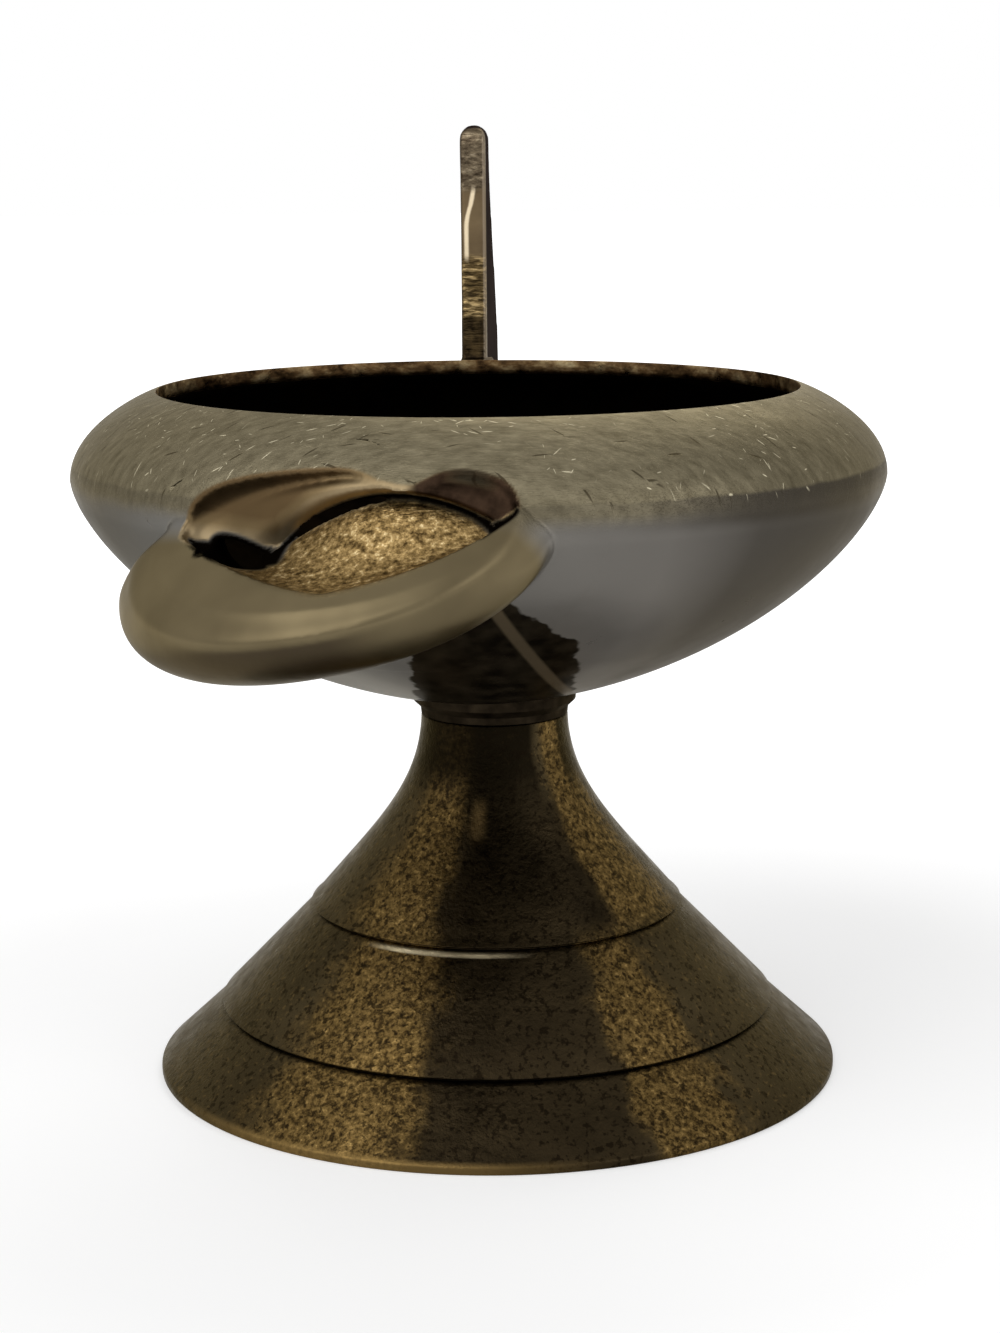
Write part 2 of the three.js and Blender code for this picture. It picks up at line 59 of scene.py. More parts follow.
# %% Axes and heights
MM = 0.001
foot_low, foot_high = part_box("foot")
bowl_low, bowl_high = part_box("bowl")
FOOT_AXIS = Vector(((foot_low[0] + foot_high[0]) / 2, (foot_low[1] + foot_high[1]) / 2, 0))
BOWL_AXIS = Vector(((bowl_low[0] + bowl_high[0]) / 2, FOOT_AXIS.y, 0))
FOOT_HEIGHT = foot_high[2]
RIM_Z = bowl_high[2]
BOWL_RADIUS = (bowl_high[0] - bowl_low[0]) / 2
JOINT_GAP = 0.3 * MM
SEAT_Z = FOOT_HEIGHT + JOINT_GAP
SHOULDER_RISE = 10.2 * MM
GIRTH_Z = RIM_Z - SHOULDER_RISE
BOWL_DEPTH = GIRTH_Z - SEAT_Z
print("widest ring at", round(GIRTH_Z / MM, 2), "mm, radius", round(BOWL_RADIUS / MM, 2), "mm")

# %% [markdown]
# ## Small helpers
# Operators work on whatever is selected, so each helper first deselects everything. A turned piece is drawn
# as half of its section and spun about its axis, which is what a lathe does.

# %% Selection, joining and cutting
MERGE_GAP = 1e-7


def only(thing):
    bpy.ops.object.select_all(action="DESELECT")
    thing.select_set(True)
    bpy.context.view_layer.objects.active = thing


def copy_of(thing, name):
    made = bpy.data.objects.new(name, thing.data.copy())
    bpy.context.scene.collection.objects.link(made)
    return made


def modify(thing, kind, **settings):
    only(thing)
    modifier = thing.modifiers.new(kind.title(), kind)
    for key, value in settings.items():
        setattr(modifier, key, value)
    bpy.ops.object.modifier_apply(modifier=modifier.name)
    return thing


def combine(thing, other, operation, keep_other=False):
    modify(thing, "BOOLEAN", operation=operation, object=other, solver="MANIFOLD")
    if not keep_other:
        bpy.data.objects.remove(other)
    return thing


def clean(thing):
    """Merge doubles and turn every face outwards."""
    only(thing)
    bpy.ops.object.mode_set(mode="EDIT")
    bpy.ops.mesh.select_all(action="SELECT")
    bpy.ops.mesh.remove_doubles(threshold=MERGE_GAP)
    bpy.ops.mesh.normals_make_consistent(inside=False)
    bpy.ops.object.mode_set(mode="OBJECT")
    return thing


# %% The lathe
TURN_STEPS = 200


def drawn(name, places):
    """One point, extruded from place to place, as when an outline is drawn by hand."""
    bpy.ops.object.select_all(action="DESELECT")
    bpy.ops.mesh.primitive_plane_add(size=MM, location=(0, 0, 0))
    thing = bpy.context.object
    thing.name = thing.data.name = name
    bpy.ops.object.mode_set(mode="EDIT")
    bpy.ops.mesh.merge(type="CENTER")
    bpy.ops.transform.translate(value=places[0])
    for before, here in zip(places, places[1:]):
        bpy.ops.mesh.extrude_region_move(TRANSFORM_OT_translate={"value": here - before})
    bpy.ops.object.mode_set(mode="OBJECT")
    return thing


def turned(name, section, axis, steps=TURN_STEPS):
    """section: (radius, height) points of a closed outline, or of one that starts and ends on the axis."""
    on_axis = section[0][0] == 0 and section[-1][0] == 0
    outline = section if on_axis else [*section, section[0]]
    thing = drawn(name, [Vector((axis.x + radius, axis.y, height)) for radius, height in outline])
    bpy.ops.object.mode_set(mode="EDIT")
    bpy.ops.mesh.select_all(action="SELECT")
    bpy.ops.mesh.spin(steps=steps, angle=2 * math.pi, center=tuple(axis), axis=(0, 0, 1))
    bpy.ops.object.mode_set(mode="OBJECT")
    return clean(thing)


def slab(name, places, along):
    """A closed outline, filled with one face and extruded."""
    thing = drawn(name, [*places, places[0]])
    bpy.ops.object.mode_set(mode="EDIT")
    bpy.ops.mesh.select_all(action="SELECT")
    bpy.ops.mesh.remove_doubles(threshold=MERGE_GAP)
    bpy.ops.mesh.edge_face_add()
    bpy.ops.mesh.extrude_region_move(TRANSFORM_OT_translate={"value": along})
    bpy.ops.object.mode_set(mode="OBJECT")
    return clean(thing)


# %% Curves and softened corners
CORNER_ANGLE = math.radians(25)
CORNER_STEPS = 3
MOST_OF_EDGE = 0.45


def bezier(a, b, c, d, steps):
    out = []
    for i in range(steps + 1):
        t = i / steps
        u = 1 - t
        out.append(tuple(
            u ** 3 * a[k] + 3 * u * u * t * b[k] + 3 * u * t * t * c[k] + t ** 3 * d[k] for k in (0, 1)
        ))
    return out


def toward(a, b, c, steps):
    """Points on the curve that leaves a for b and ends in c, without a itself."""
    return [
        tuple((1 - t) ** 2 * a[k] + 2 * t * (1 - t) * b[k] + t * t * c[k] for k in (0, 1))
        for t in [i / steps for i in range(1, steps + 1)]
    ]


def softened(section, radius):
    """The same outline with each clear corner cut to a small round."""
    out = []
    count = len(section)
    for i, here in enumerate(section):
        if here[0] == 0:
            out.append(here)
            continue
        here = Vector(here)
        before = Vector(section[i - 1]) - here
        after = Vector(section[(i + 1) % count]) - here
        turn = math.pi - before.angle(after) if before.length and after.length else 0
        if turn < CORNER_ANGLE:
            out.append(tuple(here))
            continue
        reach = min(radius, before.length * MOST_OF_EDGE, after.length * MOST_OF_EDGE)
        start = here + before.normalized() * reach
        end = here + after.normalized() * reach
        for j in range(CORNER_STEPS + 1):
            t = j / CORNER_STEPS
            out.append(tuple(start * (1 - t) ** 2 + here * 2 * t * (1 - t) + end * t * t))
    return out


# %% [markdown]
# ## Nodes as functions
# Materials and the sky are graphs of nodes. They could be wired one socket to a line. Here a few small
# functions each add one node, feed its sockets and give back its output, so that a finish reads like a
# recipe.

# %% Nodes as functions
def colour_value(value):
    """A grey level, or a colour of 0 to 255 as it shows on screen, as linear light."""
    if isinstance(value, (int, float)):
        return (value, value, value, 1)
    shares = [c / 255 for c in value]
    return (*(c / 12.92 if c <= 0.04045 else ((c + 0.055) / 1.055) ** 2.4 for c in shares), 1)


def feed(socket, value):
    """A socket takes another node's output or a value of its own."""
    if isinstance(value, bpy.types.NodeSocket):
        socket.id_data.links.new(value, socket)
    else:
        socket.default_value = colour_value(value) if socket.type == "RGBA" else value


def add_node(tree, kind, *values, setting=None, **inputs):
    """values feed the first sockets in their order, and inputs feed sockets by name."""
    node = tree.nodes.new("ShaderNode" + kind)
    for key, value in (setting or {}).items():
        setattr(node, key, value)
    for socket, value in zip(node.inputs, values):
        feed(socket, value)
    for key, value in inputs.items():
        feed(node.inputs[key.replace("_", " ")], value)
    return node


def tree_of(*values):
    """The graph of the first output among the values."""
    return next(value.id_data for value in values if isinstance(value, bpy.types.NodeSocket))


def math_node(kind, a, b=0.0):
    return add_node(tree_of(a, b), "Math", a, b, setting={"operation": kind}).outputs[0]


def vector_math(kind, *values):
    return add_node(tree_of(*values), "VectorMath", *values, setting={"operation": kind}).outputs


def plus(a, b):
    return math_node("ADD", a, b)


def minus(a, b):
    return math_node("SUBTRACT", a, b)


def larger(a, b):
    return math_node("MAXIMUM", a, b)


def times(*factors):
    total = factors[0]
    for factor in factors[1:]:
        total = math_node("MULTIPLY", total, factor)
    return total


# %% [markdown]
# ## Floor, light and camera
# A pale floor and a few large soft lamps show metal best, because metal shows what stands round it. The
# floor glows a little for the camera and in reflections, so that it comes out white and still keeps the
# shadow.

# %% Floor
FLOOR_SIZE = 8.0
FLOOR_DROP = 0.02 * MM
FLOOR_GREY = 0.8
GLOW_AT = (0.08, 0.45)
GLOW_STRENGTH = (0.42, 1.0)
bpy.ops.object.select_all(action="DESELECT")
bpy.ops.mesh.primitive_plane_add(size=FLOOR_SIZE, location=(0, 0, -FLOOR_DROP))
floor = bpy.context.object
floor.name = "floor"


def node_tree(name):
    material = bpy.data.materials.new(name)
    material.use_nodes = True
    tree = material.node_tree
    tree.nodes.clear()
    return material, tree


def seen_or_mirrored(tree):
    """1 for what the camera sees, or sees in metal or through glass."""
    path = add_node(tree, "LightPath").outputs
    return larger(larger(path["Is Camera Ray"], path["Is Glossy Ray"]), path["Is Transmission Ray"])


floor_material, tree = node_tree("pale_floor")
distance = vector_math("LENGTH", add_node(tree, "TexCoord").outputs["Object"])["Value"]
fade = add_node(
    tree, "MapRange", distance,
    From_Min=GLOW_AT[0], From_Max=GLOW_AT[1], To_Min=GLOW_STRENGTH[0], To_Max=GLOW_STRENGTH[1],
)
matte = add_node(tree, "BsdfDiffuse", Color=FLOOR_GREY)
glow = add_node(tree, "Emission", Color=1.0, Strength=times(fade.outputs["Result"], seen_or_mirrored(tree)))
both = add_node(tree, "AddShader", matte.outputs[0], glow.outputs[0])
add_node(tree, "OutputMaterial", both.outputs[0])
floor.data.materials.append(floor_material)
print("floor:", FLOOR_SIZE, "m square")

# %% World
WORLD_FILL = 0.35
world = bpy.data.worlds.new("studio")
bpy.context.scene.world = world
world.use_nodes = True
tree = world.node_tree
tree.nodes.clear()
level = add_node(tree, "MapRange", seen_or_mirrored(tree), To_Min=WORLD_FILL, To_Max=1.0)
background = add_node(tree, "Background", Color=1.0, Strength=level.outputs["Result"])
add_node(tree, "OutputWorld", background.outputs[0])
print("world: strength", WORLD_FILL, "on matt surfaces, 1 where it is seen")

# %% Lamps
LAMPS = {
    # name: place, width, power
    "key": ((-0.55, -0.55, 0.75), 0.9, 4.6),
    "fill": ((0.7, -0.5, 0.45), 0.6, 1.5),
    "back": ((0.2, 0.8, 0.7), 0.5, 2.5),
}
LOOK_AT = Vector((0, 0, 0.055))
for name, (place, width, power) in LAMPS.items():
    lamp = bpy.data.lights.new(name, "AREA")
    lamp.size = width
    lamp.energy = power
    holder = bpy.data.objects.new(name, lamp)
    holder.location = place
    holder.rotation_euler = (LOOK_AT - Vector(place)).to_track_quat("-Z", "Y").to_euler()
    bpy.context.scene.collection.objects.link(holder)
print("lamps:", ", ".join(LAMPS))

# %% Camera
IMAGE_HEIGHT = 1333
FOCAL_PIXELS = 2746.2
SENSOR = 36.0
CAMERA_FROM_FOOT = Vector((0.72, -331.07, 113.25)) * MM
PITCH = math.radians(10.88)
ROLL = math.radians(0.5)
camera_data = bpy.data.cameras.new("camera")
camera_data.sensor_fit = "VERTICAL"
camera_data.sensor_height = SENSOR
camera_data.lens = FOCAL_PIXELS / IMAGE_HEIGHT * SENSOR
camera_data.clip_start = 0.01
camera = bpy.data.objects.new("camera", camera_data)
camera.matrix_world = (
    Matrix.Translation(FOOT_AXIS + CAMERA_FROM_FOOT)
    @ Matrix.Rotation(math.pi / 2 - PITCH, 4, "X")
    @ Matrix.Rotation(-ROLL, 4, "Z")
)
bpy.context.scene.collection.objects.link(camera)
bpy.context.scene.camera = camera
bpy.context.scene.view_settings.view_transform = "Standard"
print("lens:", round(camera_data.lens, 1), "mm on a sensor", SENSOR, "mm high")

# %% [markdown]
# ## Foot
# The foot is cast and then turned inside and out. Its skirt is nearly straight and carries two turned
# lines, and above them it flares in one curve to the neck. It could be a cone that is shaped ring by ring.
# Here one outline holds the outside, the closed top of the neck and the hollow inside, and the lathe does
# the rest.

# %% Foot
FOOT_RADIUS = 42 * MM
FOOT_WALL = 2.4 * MM
FOOT_EDGE = 0.9 * MM
NECK_RADIUS = 9 * MM
NECK_DISC = 3 * MM
SOLDER_DEPTH = 1.2 * MM
SOLDER_DROP = 1.5 * MM
SPIGOT_HOLE = 4.3 * MM
LINE_LOWER = (34.2 * MM, 8.2 * MM)
LINE_UPPER = (22.9 * MM, 20.3 * MM)
LINE_STEP = 0.4 * MM
LINE_CUT = 0.5 * MM
EDGE_ROUND = 0.25 * MM


def turned_line(radius, height):
    return [
        (radius + LINE_STEP, height - LINE_CUT),
        (radius + LINE_STEP * 0.6, height - LINE_CUT * 0.7),
        (radius - LINE_CUT, height),
        (radius - LINE_CUT * 0.4, height + LINE_CUT * 0.3),
        (radius + LINE_CUT * 0.2, height + LINE_CUT * 0.6),
    ]


flare = bezier(
    (LINE_UPPER[0] - 0.6 * MM, LINE_UPPER[1] + 0.9 * MM),
    (LINE_UPPER[0] - 8 * MM, LINE_UPPER[1] + 9.6 * MM),
    (NECK_RADIUS + 0.2 * MM, FOOT_HEIGHT - 10.5 * MM),
    (NECK_RADIUS, FOOT_HEIGHT - SOLDER_DROP),
    40,
)
hollow = bezier(
    (NECK_RADIUS - FOOT_WALL, FOOT_HEIGHT - NECK_DISC),
    (NECK_RADIUS - FOOT_WALL + 0.2 * MM, FOOT_HEIGHT - 11.5 * MM),
    (LINE_UPPER[0] - 9.6 * MM - FOOT_WALL * 0.4, LINE_UPPER[1] + 8 * MM),
    (LINE_UPPER[0] - FOOT_WALL * 1.3, LINE_UPPER[1] - 0.6 * MM),
    24,
)
foot_section = (
    [(FOOT_RADIUS, 0), (FOOT_RADIUS, FOOT_EDGE)]
    + turned_line(*LINE_LOWER)
    + turned_line(*LINE_UPPER)
    + flare
    + [
        (NECK_RADIUS - SOLDER_DEPTH, FOOT_HEIGHT - SOLDER_DROP),
        (NECK_RADIUS - SOLDER_DEPTH, FOOT_HEIGHT),
        (SPIGOT_HOLE, FOOT_HEIGHT),
        (SPIGOT_HOLE, FOOT_HEIGHT - NECK_DISC),
    ]
    + hollow
    + [(FOOT_RADIUS - FOOT_WALL, 0)]
)
foot = turned("turned_foot", softened(foot_section, EDGE_ROUND), FOOT_AXIS)
print("foot:", len(foot.data.polygons), "faces")

# %% [markdown]
# ## Washer
# The washer sits inside the neck, round the spigot. A flat disc with a hole could stand for it, but a
# turned one gets soft edges. The solder ring follows after the reservoir, whose underside gives it its
# upper face.

# %% Washer
WASHER_TOP = FOOT_HEIGHT - NECK_DISC - JOINT_GAP
WASHER_THICKNESS = 1.4 * MM
WASHER_RADIUS = 6 * MM
WASHER_STEPS = 96
washer = turned(
    "washer",
    softened(
        [
            (SPIGOT_HOLE, WASHER_TOP - WASHER_THICKNESS),
            (WASHER_RADIUS, WASHER_TOP - WASHER_THICKNESS),
            (WASHER_RADIUS, WASHER_TOP),
            (SPIGOT_HOLE, WASHER_TOP),
        ],
        EDGE_ROUND,
    ),
    FOOT_AXIS,
    WASHER_STEPS,
)
print("washer:", len(washer.data.polygons), "faces")

# %% [markdown]
# ## Reservoir
# Its section is two superellipses that meet at the widest ring: a deep dish below, and above it a shoulder
# that turns in to the mouth. The wall follows inside. A few hand-set points could give such a section, but
# the formula can be grown or shrunk too, and that later limits the pieces which meet the wall.

# %% Reservoir outline
MOUTH_RADIUS = 38.6 * MM
BOWL_WALL = 2.2 * MM
BOSS_RADIUS = 8.2 * MM
RIM_ROUND = 0.35 * MM
DISH_STEPS, SHOULDER_STEPS = 48, 28
DISH_UP, DISH_OUT = 1.5, 1.8
SHOULDER_UP, SHOULDER_OUT = 2, 1.2


def bulge(level, height, wide, narrow, up, out):
    """Radius at a level of a form that goes from wide, at 0, to narrow, at its height."""
    return narrow + (wide - narrow) * max(0, 1 - (level / height) ** up) ** (1 / out)


def bowl_section(grow, from_radius):
    wide = BOWL_RADIUS + grow
    depth = BOWL_DEPTH + grow
    rise = SHOULDER_RISE + grow
    deepest = depth * max(0, 1 - (from_radius / wide) ** DISH_OUT) ** (1 / DISH_UP)
    points = []
    for i in range(DISH_STEPS):
        level = deepest * (1 - (i / DISH_STEPS) ** 1.5)
        points.append((bulge(level, depth, wide, 0, DISH_UP, DISH_OUT), GIRTH_Z - level))
    for i in range(SHOULDER_STEPS + 1):
        level = rise * math.sin(i / SHOULDER_STEPS * math.pi / 2)
        radius = bulge(level, rise, wide, MOUTH_RADIUS, SHOULDER_UP, SHOULDER_OUT)
        points.append((radius, GIRTH_Z + level))
    return points


def envelope(name, grow):
    """The reservoir's outer form as one solid, grown by grow, with its mouth closed flat."""
    section = [(0, SEAT_Z - grow)] + bowl_section(grow, BOSS_RADIUS) + [(0, RIM_Z + grow)]
    return turned(name, section, BOWL_AXIS)


inner_section = bowl_section(-BOWL_WALL, 0)[::-1]
inner_section = [
    p for p in inner_section if p[0] > MOUTH_RADIUS + BOWL_WALL * 0.4 or p[1] < GIRTH_Z
]
rim_lip = (MOUTH_RADIUS, RIM_Z - BOWL_WALL * 0.75)
outer_section = [(0, SEAT_Z), (BOSS_RADIUS, SEAT_Z)] + bowl_section(0, BOSS_RADIUS)
wall_section = outer_section + [rim_lip] + inner_section[:-1] + [(0, inner_section[-1][1])]
reservoir = turned("reservoir", softened(wall_section, RIM_ROUND), BOWL_AXIS)
print("reservoir:", len(reservoir.data.polygons), "faces before the mouth is cut")

# %% [markdown]
# ## Solder ring
# The neck has a rebate, and the solder has run out of it and up against the reservoir. Its upper face
# follows the reservoir's curve, which would be hard to draw. So the ring is turned too high, and then the
# reservoir's own form is taken out of it.

# %% Solder ring
SOLDER_CLEAR = 0.03 * MM
SOLDER_FOOT = FOOT_HEIGHT - SOLDER_DROP + SOLDER_CLEAR
SOLDER_TOP = FOOT_HEIGHT + 2.4 * MM
SOLDER_ROUND = 0.05 * MM
solder_inner = NECK_RADIUS - SOLDER_DEPTH + JOINT_GAP
solder_ring = turned(
    "solder_ring",
    softened(
        [
            (solder_inner, SOLDER_FOOT),
            (NECK_RADIUS, SOLDER_FOOT),
            (NECK_RADIUS + 0.1 * MM, FOOT_HEIGHT - 0.6 * MM),
            (NECK_RADIUS + 1.0 * MM, FOOT_HEIGHT + 0.25 * MM),
            (NECK_RADIUS + 1.2 * MM, SOLDER_TOP),
            (solder_inner, SOLDER_TOP),
        ],
        SOLDER_ROUND,
    ),
    FOOT_AXIS,
)
boss_radius = BOSS_RADIUS + SOLDER_CLEAR
under_section = [(0, SEAT_Z - SOLDER_CLEAR), (boss_radius, SEAT_Z - SOLDER_CLEAR)]
under_section += bowl_section(SOLDER_CLEAR, boss_radius) + [(0, RIM_Z)]
combine(solder_ring, turned("under_reservoir", under_section, BOWL_AXIS), "DIFFERENCE")
print("solder ring:", len(solder_ring.data.polygons), "faces")

# %% [markdown]
# ## Nozzle
# The nozzle is a scoop with a fat rounded lip that hangs lower on its left. It could be sculpted by hand;
# here it is lofted through four rings that lean back more and more towards the lip, so its sizes stay
# readable. Its hollow is a funnel that narrows to a slot under the shoulder, with a deeper hole for the
# wick at the slot's left end.

# %% Rings of the nozzle
NOZZLE_TURN = math.radians(17)
NOZZLE_SIDES = 120
NOZZLE_STEPS = 12
nozzle_frame = Matrix.Translation((BOWL_AXIS.x, BOWL_AXIS.y, GIRTH_Z)) @ Matrix.Rotation(
    -math.pi / 2 - NOZZLE_TURN, 4, "Z"
)
# Lengths in mm, tilt and roll in degrees. The mouth's upper edge has a notch at a share of its half width.
MOUTH = dict(
    out=52, shift=0, up=-0.7, tilt=49, roll=7, half=18.4, rise=8.1, fall=8.1, bow=6, arch=0,
    top=2.1, bottom=1.5, left=1.15, notch=0.36,
)
THROAT = dict(
    out=46.6, shift=3.5, up=-2.4, tilt=12, roll=8, half=12.2, rise=0.7, fall=0.7, bow=1.6, arch=4.1,
    top=2, bottom=2, left=2, notch=0,
)
WICK_HOLE = dict(
    out=50.3, shift=-8.7, up=-8.7, tilt=0, roll=-22, half=4.7, rise=1.4, fall=3.3, bow=0, arch=0,
    top=2, bottom=2, left=2, notch=0,
)
STATION = tuple(MOUTH)
NOTCH_AT = 0.37
NOTCH_WIDTH = 0.2


def ring(at):
    """One ring of the loft, from its point on the right over the top to the left and back below."""
    lean = math.radians(at["tilt"])
    roll = Matrix.Rotation(math.radians(at["roll"]), 4, "X")
    points = []
    for i in range(NOZZLE_SIDES):
        angle = 2 * math.pi * i / NOZZLE_SIDES
        c, s = math.cos(angle), math.sin(angle)
        power = 2 / at["top" if s > 0 else "left" if c < 0 else "bottom"]
        wide = math.copysign(abs(c) ** power, c)
        high = (at["rise"] if s > 0 else at["fall"]) * math.copysign(abs(s) ** power, s)
        if s > 0:
            high *= 1 - at["notch"] * math.exp(-(((wide - NOTCH_AT) / NOTCH_WIDTH) ** 2))
        place = Vector((
            at["out"] - high * math.sin(lean) - at["bow"] * wide * wide,
            at["shift"] + at["half"] * wide,
            at["up"] + high * math.cos(lean) + at["arch"] * (1 - wide * wide),
        ))
        points.append(nozzle_frame @ (roll @ place * MM))
    return points


def between(stations, t):
    """Smooth curve through the stations' values."""
    last = len(stations) - 1
    i = min(int(t), last - 1)
    u = t - i
    made = {}
    for key in STATION:
        a = stations[max(i - 1, 0)][key]
        b, c = stations[i][key], stations[i + 1][key]
        d = stations[min(i + 2, last)][key]
        start = (c - a) / 2 if i > 0 else c - b
        end = (d - b) / 2 if i + 1 < last else c - b
        made[key] = (
            b * (2 * u ** 3 - 3 * u * u + 1)
            + start * (u ** 3 - 2 * u * u + u)
            + c * (3 * u * u - 2 * u ** 3)
            + end * (u ** 3 - u * u)
        )
    return made


# %% The loft
def lofted(name, stations):
    """A filled circle, extruded ring after ring. Each point carries its number round the ring along."""
    bpy.ops.object.select_all(action="DESELECT")
    bpy.ops.mesh.primitive_circle_add(vertices=NOZZLE_SIDES, radius=MM, fill_type="NGON")
    thing = bpy.context.object
    thing.name = thing.data.name = name
    bpy.ops.object.mode_set(mode="EDIT")
    form = bmesh.from_edit_mesh(thing.data)
    number = form.verts.layers.int.new("number")
    form.verts.ensure_lookup_table()
    for i in range(NOZZLE_SIDES):
        form.verts[i][number] = i
    steps = (len(stations) - 1) * NOZZLE_STEPS
    for step in range(steps + 1):
        if step:
            bpy.ops.mesh.extrude_region_move()
            form = bmesh.from_edit_mesh(thing.data)
            number = form.verts.layers.int["number"]
        places = ring(between(stations, step / NOZZLE_STEPS))
        for vertex in form.verts:
            if vertex.select:
                vertex.co = places[vertex[number]]
        bmesh.update_edit_mesh(thing.data)
    bpy.ops.mesh.select_all(action="SELECT")
    bpy.ops.mesh.quads_convert_to_tris()
    bpy.ops.object.mode_set(mode="OBJECT")
    return clean(thing)


# %% Body and hollow of the nozzle
RIDGE_BACK = 1.8
MOUTH_REACH = 8.1


def pushed(station, distance):
    """The same ring moved along the mouth's own axis, in mm."""
    lean = math.radians(MOUTH["tilt"])
    return dict(
        station,
        out=station["out"] + distance * math.cos(lean),
        up=station["up"] + distance * math.sin(lean),
    )


def nozzle_body(name, grow=0.0, over=0.0, forward=0.0):
    """grow: to the sides and below, over: above, forward: beyond the lip, all in mm."""
    root = dict(
        out=37 - grow, shift=-4.4, up=-4.6, tilt=0, roll=12, half=21 + grow, rise=5 + over, fall=9 + grow,
        bow=0, arch=0, top=1.7, bottom=2.2, left=2.2, notch=0,
    )
    belly = dict(root, out=46.5, tilt=29, half=25.4 + grow, rise=6.5 + over, fall=12.2 + grow, bow=4.2)
    ridge = dict(
        pushed(MOUTH, -RIDGE_BACK), shift=-3.5, roll=9.5,
        half=23 + grow, rise=9.7 + over, fall=13.5 + grow,
        top=1.7, bottom=2.2, left=2.2, notch=0,
    )
    face = dict(
        pushed(ridge, RIDGE_BACK + forward), shift=-1.8, roll=7,
        half=ridge["half"] - 2.3, rise=ridge["rise"] - 0.6, fall=ridge["fall"] - 3.2,
    )
    return lofted(name, [root, belly, ridge, face])


def round_the_mouth(name, grow, back):
    """A straight block along the mouth's axis, larger than the mouth by grow."""
    wider = dict(MOUTH, **{side: MOUTH[side] + grow for side in ("half", "rise", "fall")})
    return lofted(name, [pushed(wider, -back), pushed(wider, MOUTH_REACH)])


FUNNEL = [dict(THROAT, out=38), THROAT, MOUTH, pushed(MOUTH, MOUTH_REACH)]


# %% [markdown]
# The nozzle's casting is joined from two forms: its body, and a patch of the reservoir's wall round it, so
# that there is metal to melt the corner into. The hollow is cut out of both, and a voxel remesh gives the
# whole an even skin. Joining by hand, edge to edge, would need a new patch for every change of shape.

# %% Join, cut and remesh the casting
NOZZLE_VOXEL = 0.3 * MM
WALL_PAD = 0.9 * MM
nozzle = nozzle_body("nozzle_casting")
body_form = copy_of(nozzle, "body_form")
outer_form = envelope("outer_form", 0)
patch = combine(nozzle_body("patch", 8, 5.4), round_the_mouth("patch_block", 5, 7), "UNION")
combine(patch, outer_form, "INTERSECT", keep_other=True)
combine(nozzle, patch, "UNION")
combine(nozzle, envelope("inner_void", -BOWL_WALL - WALL_PAD), "DIFFERENCE")
hollow_form = lofted("hollow_form", FUNNEL)
hole_form = lofted("hole_form", [dict(WICK_HOLE, out=33), WICK_HOLE])
combine(hollow_form, hole_form, "UNION", keep_other=True)
combine(nozzle, hollow_form, "DIFFERENCE", keep_other=True)
modify(nozzle, "REMESH", mode="VOXEL", voxel_size=NOZZLE_VOXEL, use_smooth_shade=True)
print("nozzle:", len(nozzle.data.polygons), "faces")

# %% [markdown]
# The nozzle flows into the reservoir's wall without a corner. Where its surface meets the wall, the points
# get a weight, and a smoothing modifier that heeds the weight melts the corner into a soft hollow curve. A
# bevel could round it too, but not so widely. The edges of the mouth only lose the steps that the remesh
# left.

# %% Distances from the forms
def rises(low, high, value):
    """0 below low, 1 above high, and a smooth step between them."""
    t = min(1, max(0, (value - low) / (high - low)))
    return t * t * (3 - 2 * t)


def falls(low, high, value):
    return 1 - rises(low, high, value)


def surface_of(thing):
    thing.data.update()
    form = bmesh.new()
    form.from_mesh(thing.data)
    tree = BVHTree.FromBMesh(form)
    form.free()
    return tree


window_form = nozzle_body("window_form", 5.6, 3.4, 4)
combine(window_form, round_the_mouth("window_block", 3, 6), "UNION")
body_surface, wall_surface, hollow_surface, hole_surface, window_surface = map(
    surface_of, (body_form, outer_form, hollow_form, hole_form, window_form)
)


def distance_to(surface, place):
    return surface.find_nearest(place)[3] / MM


def height_over(surface, place):
    """Signed distance in mm, above 0 outside, with the nearest point and the direction outwards there."""
    near, outwards, _, _ = surface.find_nearest(place)
    side = (place - near).dot(outwards)
    return math.copysign((place - near).length, side) / MM, near, outwards


# %% Melt the corner where the nozzle meets the wall
# Each pair is where the melting starts to change and where the change ends, in mm.
CORNER_REACH = (1.0, 5.0)
HOLLOW_KEPT = (0.4, 2.0)
WINDOW_KEPT = (-2.0, -0.4)
corner = nozzle.vertex_groups.new(name="corner")
for vertex in nozzle.data.vertices:
    from_corner = max(distance_to(body_surface, vertex.co), distance_to(wall_surface, vertex.co))
    from_hollow = distance_to(hollow_surface, vertex.co)
    from_window = height_over(window_surface, vertex.co)[0]
    weight = falls(*CORNER_REACH, from_corner) * rises(*HOLLOW_KEPT, from_hollow)
    corner.add([vertex.index], weight * falls(*WINDOW_KEPT, from_window), "REPLACE")
modify(nozzle, "SMOOTH", factor=0.5, iterations=5)
modify(nozzle, "SMOOTH", factor=0.6, iterations=70, vertex_group="corner")
nozzle.vertex_groups.clear()

# %% [markdown]
# The nozzle brings a strip of the wall along, and the reservoir gets a window a little smaller than that
# strip. Two walls in one place would flicker, and a gap would show. So over the window the strip lies level
# with the wall, and past its edge it dips just under the wall's skin.

